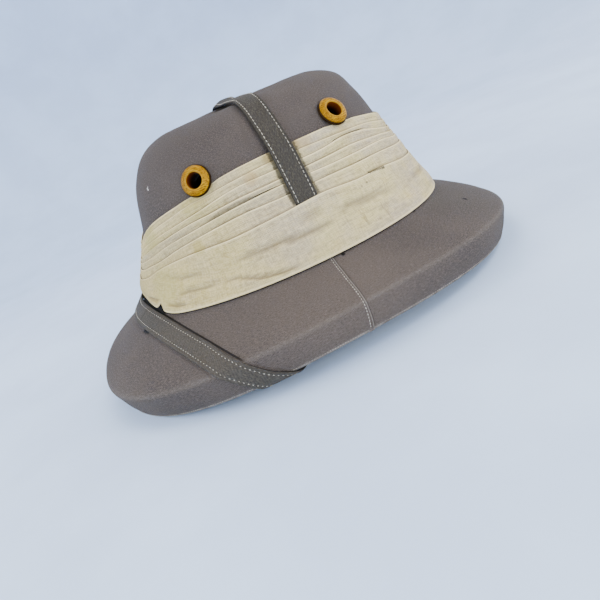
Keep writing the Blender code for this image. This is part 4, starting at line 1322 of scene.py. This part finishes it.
# %% The chin strap's route
# For each edge of the strap: angle, reach and lift. A reach is mm from the rim's outer corner: up
# the outer skin where positive, and where negative across the rim and then up the inner skin.
CHIN_STRAP = (
    (180.0,  81.4, 0.9, 180.0,  66.4, 0.8),
    (165.0,  80.4, 1.1, 167.0,  65.6, 0.8),
    (152.0,  74.9, 1.1, 155.6,  62.4, 0.8),
    (141.0,  66.4, 0.8, 145.2,  56.4, 0.8),
    (130.0,  55.0, 0.8, 134.2,  46.2, 0.8),
    (120.6,  40.8, 0.8, 124.9,  33.6, 0.8),
    (112.4,  23.6, 0.8, 120.2,  24.0, 0.9),
    (108.6,  11.6, 0.8, 116.4,  12.0, 0.9),
    (103.6,   0.0, 0.8, 112.8,   0.0, 0.9),
    (102.0,  -6.0, 0.9, 110.8,  -6.0, 0.9),
    (97.6,  -29.0, 0.9, 105.4, -29.0, 0.9),
    (92.2,  -61.0, 0.9, 100.8, -61.0, 0.9),
    (91.0,  -80.0, 0.8,  99.6, -80.0, 0.8),
)
CORNER = 3.0                    # mm of reach over which the strap rounds a corner of the rim
RIM_WIDTH = float(np.linalg.norm(OUTER.point(0, 0) - INNER.point(0, 0)) / MM)


def brim_side(angle, reach):
    """Point and outward normal on the outer skin, the rim or the inner skin."""
    if reach >= 0.0:
        return OUTER.point(angle, reach), OUTER.normal(np.array(angle), np.array(reach))
    if reach > -RIM_WIDTH:
        share = -reach / RIM_WIDTH
        on_rim = OUTER.point(angle, 0.0) * (1 - share) + INNER.point(angle, 0.0) * share
        return on_rim, np.array([0, 0, -1.0])
    inner = -reach - RIM_WIDTH
    return INNER.point(angle, inner), -INNER.normal(np.array(angle), np.array(inner))


def brim_offset(angle, reach, distance):
    """A point off the brim, with the direction smoothed over the corners of the rim."""
    around = sum(brim_side(angle, reach + CORNER * step)[1] for step in (-1, -0.5, 0, 0.5, 1))
    return brim_side(angle, reach)[0] + unit(around) * distance * MM


HALF_ROUTE_POINTS = 150
route_rows = np.array(CHIN_STRAP)
middles = np.array([(brim_side(r[0], r[1])[0] + brim_side(r[3], r[4])[0]) / 2 for r in route_rows])
route_along = running_length(middles)
route = SmoothTable(route_rows, route_along)
marks = np.linspace(0, route_along[-1], HALF_ROUTE_POINTS)
near_line, far_line = [], []
for side, half_marks in ((-1, marks[::-1]), (1, marks[1:])):
    rungs = route.at(half_marks)
    near_line += [brim_offset(side * r[0], r[1], r[2]) for r in rungs]
    far_line += [brim_offset(side * r[3], r[4], r[5]) for r in rungs]
near_line, far_line = soften(np.array(near_line), 2), soften(np.array(far_line), 2)
middle = (near_line + far_line) / 2
heading = unit(np.gradient(middle, axis=0))
chin_out = unit(np.cross(heading, unit(far_line - near_line)))
outwards = middle[HALF_ROUTE_POINTS] - np.array([0.0, 0.0, 60.0 * MM])
if np.dot(chin_out[HALF_ROUTE_POINTS], outwards) < 0:
    chin_out = -chin_out
chin_middle = middle + chin_out * STRAP_THICKNESS / 2
# Where the strap turns over the rim at a slant, its sections run along the rim and not square.
chin_rung = (far_line - near_line) / 2
square = np.cross(heading, chin_out)
facing = np.sign(np.einsum("ij,ij->i", square, chin_rung))[:, None]
chin_slant = chin_rung * facing - square * STRAP_WIDTH / 2

# %% Sweep the chin strap
chin_strap = sweep_strap("chin_strap_cloth", (chin_middle, chin_out, chin_slant), CHIN_INSET,
                         pale_strap_drill)
swept = vertex_places(chin_strap.data)
for edge in (near_line, far_line):
    edge_gap = np.linalg.norm(swept[:, None] - edge[None, ::10], axis=2).min(axis=0)
    print("chin strap's edge lies", round(float(edge_gap.max()) * 1000, 2),
          "mm from its line at most")
print("chin strap spans", [round(d * 1000, 1) for d in chin_strap.dimensions], "mm")

# %% [markdown]
# ## Stitches
#
# Rows of stitches repeat hundreds of times, so Geometry Nodes lay them: a line is cut into steps
# of one stitch, and a small capsule is set on each, turned along the line and flat to the cloth.
# Each stitch is a squashed sphere with a few dozen faces, and a fixed seed makes no two quite
# alike.

# %% The tree that lays a row of stitches
BALL_SEGMENTS, BALL_RINGS = 6, 4
BALL_TRIANGLES = 2 * BALL_SEGMENTS * (BALL_RINGS - 1)
SHORTEST, LONGEST = 0.8, 1.15   # of a stitch, as a share of its stated length


def stitch_tree():
    tree, given = new_tree("Row of stitches", [
        ("Pitch", "Float"), ("Length", "Float"), ("Thread", "Float"), ("Seed", "Int"),
        ("Cotton", "Material")])
    line = add_node(tree, "GeometryNodeMeshToCurve", {"Mesh": given["Geometry"]})
    steps = add_node(tree, "GeometryNodeResampleCurve", {"Curve": line, "Length": given["Pitch"]},
                     mode="LENGTH")
    heading = add_node(tree, "GeometryNodeInputTangent")
    out = add_node(tree, "GeometryNodeInputNamedAttribute", {"Name": "out"},
                   data_type="FLOAT_VECTOR").outputs["Attribute"]
    turn = add_node(tree, "FunctionNodeAxesToRotation", {
        "Primary Axis": heading, "Secondary Axis": out}, primary_axis="X", secondary_axis="Z")
    uneven = add_node(tree, "FunctionNodeRandomValue", {
        "Min": SHORTEST, "Max": LONGEST, "Seed": given["Seed"]}, data_type="FLOAT")
    uneven = [socket for socket in uneven.outputs if socket.enabled][0]
    half_length = add_node(tree, "ShaderNodeMath", (given["Length"], 0.5), operation="MULTIPLY")
    half_length = add_node(tree, "ShaderNodeMath", (half_length, uneven), operation="MULTIPLY")
    half_thread = add_node(tree, "ShaderNodeMath", (given["Thread"], 0.5), operation="MULTIPLY")
    size = add_node(tree, "ShaderNodeCombineXYZ", (half_length, half_thread, half_thread))
    ball = add_node(tree, "GeometryNodeMeshUVSphere", {
        "Segments": BALL_SEGMENTS, "Rings": BALL_RINGS, "Radius": 1.0})
    laid = add_node(tree, "GeometryNodeInstanceOnPoints", {
        "Points": steps, "Instance": ball, "Rotation": turn, "Scale": size})
    return end_tree(tree, laid, given["Cotton"])


stitch_row = stitch_tree()


def thread_material(name, colour, shade):
    """Mercerised sewing cotton: slightly glossier than cloth, with twisted plies along it."""
    material, tree = new_material(name)
    place = add_node(tree, "ShaderNodeTexCoord").outputs["Object"]
    worn = lumps(tree, place, 9.0, 4.0, 0.7)
    plies = lumps(tree, place, 0.35, 2.0, 0.5)
    tint = two_tones(tree, worn, 0.35, 0.65, shade, colour)
    finish_cloth(tree, tint, plies, 0.08 * MM, 0.75, 0.1)
    return material


cotton_thread = thread_material("off-white sewing cotton, twisted", "c4bdac", "8d8676")
matching_thread = thread_material("drab sewing cotton, twisted", "a59e91", "7d766b")

# %% Where the rows run
STITCH = {
    # row: pitch, length and thread in mm
    "crown_strap": (3.1, 2.5, 0.55),
    "chin_strap": (3.0, 1.35, 0.5),
    "side_seam": (2.1, 1.6, 0.5),
    "rim": (1.8, 1.3, 0.45),
}
SUNK = 0.12                     # mm that a strap's stitches lie in the cloth
SEAM_ROW, SEAM_ROW_LOW = 1.8, 0.8       # mm behind the folded edge, and more near the rim


def strap_rows(middle_line, out, half_across, inset):
    """The two rows on a strap, on its outer face; half_across goes from its middle to one edge."""
    reach = 1 - inset / (STRAP_WIDTH / 2)
    face = middle_line + out * (STRAP_THICKNESS / 2 - SUNK * MM)
    return [(face + half_across * reach * sign, out) for sign in (-1, 1)]


def seam_rows():
    """A row behind each lapped seam, a little further from it near the rim."""
    up = np.linspace(1.5, 76.0, 60)
    back = SEAM_ROW + SEAM_ROW_LOW * (1 - ramp(up, 2.0, 24.0))
    angle = OUTER.angle_at(seam_x(up) - back, up)
    lifts = np.full_like(up, (LAP_HEIGHT + 0.03) * MM)
    return [(OUTER.offset(sign * angle, up, lifts), OUTER.normal(sign * angle, up))
            for sign in (-1, 1)]


def rim_row():
    angle = np.linspace(-180.0, 180.0, 721)
    up = np.full_like(angle, RIM_ROW)
    on_hem = OUTER.offset(angle, up, np.full_like(up, HEM_HEIGHT * MM))
    return [(on_hem, OUTER.normal(angle, up))]


half_strap = np.array([[STRAP_WIDTH / 2, 0.0, 0.0]])
ROWS = {
    "crown_strap": strap_rows(crown_middle, strap_out, half_strap, CROWN_INSET),
    "chin_strap": strap_rows(chin_middle, chin_out, chin_rung, CHIN_INSET),
    "side_seam": seam_rows(),
    "rim": rim_row(),
}
for row_line, _ in ROWS["crown_strap"]:
    row_line[:, 2] += cup(row_line)
print("rows of stitches:", {row_name: len(lines) for row_name, lines in ROWS.items()})

# %% Lay the stitches
stitches = {}
for seed, (row_name, lines) in enumerate(ROWS.items(), start=3):
    pitch, stitch_length, thread = STITCH[row_name]
    laid = line_object(row_name + "_stitches", lines)
    run_tree(laid, stitch_row, {
        "Pitch": pitch * MM, "Length": stitch_length * MM, "Thread": thread * MM, "Seed": seed,
        "Cotton": matching_thread if row_name == "rim" else cotton_thread})
    stitches[row_name] = laid
    print(laid.name, ":", triangles(laid) // BALL_TRIANGLES, "stitches")

# %% [markdown]
# ## Turned ventilators
#
# Four wooden eyelets let air into the crown. Each was turned on a lathe, dyed amber and
# varnished: a domed flange outside, and a barrel that goes through the shell. Turning is a rule
# too, so a tree sweeps the lathe's profile round a circle.

# %% The tree that turns an eyelet
def turned_tree():
    tree, given = new_tree("Turned eyelet", [
        ("Path Radius", "Float"), ("Steps", "Int"), ("Wood", "Material")])
    profile = add_node(tree, "GeometryNodeMeshToCurve", {"Mesh": given["Geometry"]})
    circle = add_node(tree, "GeometryNodeCurvePrimitiveCircle", {
        "Resolution": given["Steps"], "Radius": given["Path Radius"]})
    turned = add_node(tree, "GeometryNodeCurveToMesh", {"Curve": circle, "Profile Curve": profile})
    place = add_node(tree, "GeometryNodeInputPosition")
    kept = add_node(tree, "GeometryNodeStoreNamedAttribute", {
        "Geometry": turned, "Name": "on_lathe", "Value": place},
        data_type="FLOAT_VECTOR", domain="POINT")
    return end_tree(tree, kept, given["Wood"])


turned_eyelet = turned_tree()
PATH_RADIUS, TURN_STEPS = 8.0, 64       # mm and steps of the circle that the profile goes round
# radius and height in mm, from the mouth of the hole over the dome and down the barrel
EYELET = (
    (5.15, -1.5), (5.2, 1.2), (5.3, 2.7), (5.45, 3.5), (5.75, 4.05), (6.2, 4.35), (6.8, 4.42),
    (7.5, 4.3), (8.3, 3.9), (9.1, 3.25), (9.8, 2.4), (10.35, 1.5), (10.65, 0.8), (10.75, 0.3),
    (10.6, 0.0), (8.6, 0.0), (6.8, 0.0), (6.8, -5.0), (6.8, -10.2), (6.55, -10.5), (5.5, -10.5),
    (5.25, -10.2), (5.2, -6.0),
)

# %% [markdown]
# The wood is a pale close-grained one, such as box or beech, under an amber spirit stain. Stain
# gathers in the end grain as dark flecks, and the varnish over it is clear and fairly glossy.
# Inside the hole it is bare, and painted shade darkens it with depth.

# %% Amber turned wood
GRAIN = (0.35, 2.4, 1.6)        # how the grain is drawn out, across the lathe


def turned_wood(name):
    """Stained wood by its place on the lathe: a painted highlight on the lip, painted shade on the
    rim and the bore.
    """
    material, tree = new_material(name)
    lathe = add_node(tree, "ShaderNodeAttribute", attribute_name="on_lathe").outputs["Vector"]
    level = add_node(tree, "ShaderNodeVectorMath", (lathe, (1.0, 1.0, 0.0)), operation="MULTIPLY")
    radius = add_node(tree, "ShaderNodeVectorMath", (level,), operation="LENGTH").outputs[1]
    depth = add_node(tree, "ShaderNodeSeparateXYZ", (lathe,)).outputs["Z"]
    grain = lumps(tree, lathe, 1.6, 5.0, 0.62, stretch=GRAIN)
    fleck = lumps(tree, lathe, 0.9, 2.0, 0.5, stretch=GRAIN)
    cloud = lumps(tree, lathe, 7.0, 3.0, 0.5)
    colour = two_tones(tree, cloud, 0.35, 0.65, "966a02", "ac7f02")
    # painted highlight on the lip, and painted shade on the flange's outer edge
    colour = layered(tree, colour, (
        (grain, 0.42, 0.62, 0.85, "6b3f02"),
        (fleck, 0.56, 0.66, 0.85, "2a1501"),
        (radius, 6.9 * MM, 6.2 * MM, 0.35, "b88d2f"),
        (radius, 9.75 * MM, 10.15 * MM, 0.97, "1b0e02")))
    # painted shade that darkens the bore with depth
    bore = two_tones(tree, depth, 3.0 * MM, -3.5 * MM, "5a2909", "130702")
    inside = add_node(tree, "ShaderNodeMapRange", (radius, 5.62 * MM, 5.38 * MM), **SMOOTH)
    colour = add_node(tree, "ShaderNodeMix", {0: inside, 6: colour, 7: bore},
                      data_type="RGBA").outputs[2]
    rough = add_node(tree, "ShaderNodeMapRange", (grain, 0.3, 0.8, 0.30, 0.48), **SMOOTH)
    bump = add_node(tree, "ShaderNodeBump", {"Height": grain, "Distance": 0.12 * MM})
    shader = add_node(tree, "ShaderNodeBsdfPrincipled", {
        "Base Color": colour, "Roughness": rough, "Normal": bump,
        "Coat Weight": 0.04, "Coat Roughness": 0.22, "Coat IOR": 1.4,
        "Specular IOR Level": 0.05})
    add_node(tree, "ShaderNodeOutputMaterial", {"Surface": shader})
    return material


amber_wood = turned_wood("amber-stained turned wood, varnished")


def facing_out(place, axis):
    """Moves a thing made round the z axis to a place, with its z along the axis."""
    return Matrix.Translation(place) @ axis.to_track_quat("Z", "Y").to_matrix().to_4x4()


def eyelet(name, seat, axis):
    profile = [((r - PATH_RADIUS) * MM, -h * MM, 0.0) for r, h in EYELET]
    mesh = bpy.data.meshes.new(name)
    mesh.from_pydata(profile, [(i, (i + 1) % len(profile)) for i in range(len(profile))], [])
    obj = add_object(name, mesh)
    run_tree(obj, turned_eyelet, {"Path Radius": PATH_RADIUS * MM, "Steps": TURN_STEPS,
                                  "Wood": amber_wood})
    obj.data.transform(facing_out(seat + axis * VENT_SEAT, axis))
    return obj


eyelets = {node: eyelet("turned_" + node, seat, axis) for node, (seat, axis) in vent_seats.items()}
for node, obj in eyelets.items():
    spans = np.round(np.ptp(vertex_places(obj.data), axis=0) * 1000, 1)
    cad_spans = [round((b - a) * 1000, 1) for a, b in zip(*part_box(node))]
    print(obj.name, triangles(obj), "triangles, box", spans, "mm; CAD", cad_spans)

# %% [markdown]
# ## Bore the shell
#
# Each barrel goes through a real hole. A Boolean modifier cuts it with a drill that is a little
# wider than the barrel, and the result is kept as plain mesh.

# %% Drill the four holes
DRILL_RADIUS, DRILL_REACH, DRILL_SIDES = 7.0 * MM, 20.0 * MM, 40


def drill_hole(obj, seat, axis):
    turns = [2 * math.pi * i / DRILL_SIDES for i in range(DRILL_SIDES)]
    corners = [(math.cos(turn) * DRILL_RADIUS, math.sin(turn) * DRILL_RADIUS, end)
               for end in (-DRILL_REACH, DRILL_REACH) for turn in turns]
    faces = [(i, (i + 1) % DRILL_SIDES, DRILL_SIDES + (i + 1) % DRILL_SIDES, DRILL_SIDES + i)
             for i in range(DRILL_SIDES)]
    faces += [tuple(range(DRILL_SIDES))[::-1], tuple(range(DRILL_SIDES, 2 * DRILL_SIDES))]
    mesh = bpy.data.meshes.new("drill bit")
    mesh.from_pydata(corners, [], faces)
    mesh.transform(facing_out(seat, axis))
    bit = add_object("drill bit", mesh)
    cut = obj.modifiers.new("bore", "BOOLEAN")
    cut.operation, cut.object, cut.solver = "DIFFERENCE", bit, "EXACT"
    keep_result(obj, cut)
    bpy.data.objects.remove(bit, do_unlink=True)


for seat, axis in vent_seats.values():
    drill_hole(shell, seat, axis)
print("shell:", triangles(shell), "triangles with its four holes")

# %% [markdown]
# ## Riding on the body, in place of the CAD solids
#
# Every piece rides on the one body of this part, and the CAD solid that it stands for is hidden.
# Each cloth piece prints its area.

# %% Ride and replace
pieces = {
    "pith_shell": shell, "puggaree": puggaree, "crown_strap": crown_strap, "chin_strap": chin_strap,
    **eyelets,
}
for node, obj in pieces.items():
    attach(obj, "root")
    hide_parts(node)
for row_name, obj in stitches.items():
    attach(obj, "root")


def cloth_layers(obj):
    """Half of a closed mesh's surface, in square metres."""
    return sum(p.area for p in obj.data.polygons) / 2


for obj in (puggaree, crown_strap, chin_strap):
    print(obj.name, "cloth area", round(cloth_layers(obj), 5), "m2")

# %% [markdown]
# ## Stage and light
#
# The hat rests by itself on a pale floor that sweeps up into a pale wall all round, so there is
# no edge behind it at any angle. Big soft lamps above give even light, as a product table has.

# %% A floor that sweeps up into a wall
FLOOR_RADIUS, SWEEP, WALL_TOP = 0.8, 0.6, 2.4     # metres
BELOW_HAT = 0.0002              # metres, so that the rim and the floor don't share a plane
STAGE_SIDES = 96


def sweep_stage():
    profile = [(radius, 0.0) for radius in np.linspace(0.2, FLOOR_RADIUS, 4)]
    profile += [(FLOOR_RADIUS + SWEEP * math.sin(a), SWEEP - SWEEP * math.cos(a))
                for a in np.linspace(0.05, math.pi / 2, 24)]
    profile.append((FLOOR_RADIUS + SWEEP, WALL_TOP))
    turns = [2 * math.pi * i / STAGE_SIDES for i in range(STAGE_SIDES)]
    ahead = [(i + 1) % STAGE_SIDES for i in range(STAGE_SIDES)]
    corners = [(0.0, 0.0, -BELOW_HAT)]
    for radius, z in profile:
        corners += [(radius * math.cos(turn), radius * math.sin(turn), z - BELOW_HAT)
                    for turn in turns]
    faces = [(0, 1 + i, 1 + j) for i, j in enumerate(ahead)]
    for ring in range(len(profile) - 1):
        a, b = 1 + ring * STAGE_SIDES, 1 + (ring + 1) * STAGE_SIDES
        faces += [(a + i, b + i, b + j, a + j) for i, j in enumerate(ahead)]
    mesh = bpy.data.meshes.new("stage")
    mesh.from_pydata(corners, [], faces)
    mesh.shade_smooth()
    return add_object("stage", mesh)


def floor_paint(name):
    """Matt paint with a faint unevenness, broad enough to read as light and not as dirt."""
    material, tree = new_material(name)
    place = add_node(tree, "ShaderNodeTexCoord").outputs["Object"]
    mottle = lumps(tree, place, 120.0, 4.0, 0.55)
    tone = two_tones(tree, mottle, 0.35, 0.65, "c3d7f2", "cbdffa")
    shader = add_node(tree, "ShaderNodeBsdfPrincipled", {
        "Base Color": tone, "Roughness": 0.85, "Specular IOR Level": 0.2})
    add_node(tree, "ShaderNodeOutputMaterial", {"Surface": shader})
    return material


stage = sweep_stage()
stage.data.materials.append(floor_paint("pale painted floor"))
stage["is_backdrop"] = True
print("stage:", triangles(stage), "triangles,", FLOOR_RADIUS + SWEEP, "m from middle to wall")

# %% Soft lamps and a pale sky
KEY_WHITE, WARM_WHITE, LOW_WHITE = (1.0, 0.95, 0.86), (1.0, 0.96, 0.885), (1.0, 0.91, 0.78)
SKY_WHITE, SKY_STRENGTH = (1.0, 0.95, 0.87, 1.0), 0.24
LAMPS = (
    # name, place, size in metres, power in watts, colour
    ("key", (0.55, -0.55, 1.15), 0.7, 7.6, KEY_WHITE),
    ("fill", (-0.85, -0.75, 0.75), 0.8, 5.3, WARM_WHITE),
    ("top", (-0.1, 0.25, 1.35), 1.0, 8.0, WARM_WHITE),
    ("back", (0.2, 0.9, 0.85), 0.7, 4.5, WARM_WHITE),
    ("near", (0.0, -1.0, 0.32), 0.45, 5.2, WARM_WHITE),
    ("low", (0.7, -0.75, 0.26), 0.4, 4.8, LOW_WHITE),
    ("front", (1.0, 0.1, 0.5), 0.6, 5.6, WARM_WHITE),
    ("rear", (-1.0, 0.1, 0.55), 0.6, 9.4, WARM_WHITE),
)


def soft_lamp(name, place, size, power, colour):
    """A round lamp at a place, turned to the hat."""
    data = bpy.data.lights.new(name, "AREA")
    data.shape, data.size, data.energy, data.color = "DISK", size, power, colour
    turn = (HAT_MIDDLE - Vector(place)).to_track_quat("-Z", "Y").to_matrix().to_4x4()
    add_object(name, data).matrix_world = Matrix.Translation(place) @ turn


for row in LAMPS:
    soft_lamp(*row)
world = bpy.data.worlds.new("studio")
bpy.context.scene.world = world
world.use_nodes = True
sky = world.node_tree.nodes["Background"].inputs
sky["Color"].default_value, sky["Strength"].default_value = SKY_WHITE, SKY_STRENGTH
print("lamps:", len(LAMPS), "with", round(sum(row[3] for row in LAMPS), 1), "W in all")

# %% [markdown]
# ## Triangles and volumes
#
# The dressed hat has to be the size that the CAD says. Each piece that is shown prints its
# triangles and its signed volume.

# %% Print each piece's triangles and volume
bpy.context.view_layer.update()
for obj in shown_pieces():
    print(f"{obj.name:30} {triangles(obj):7} triangles, {signed_volume(obj.data) * 1e9:10.1f} mm3")
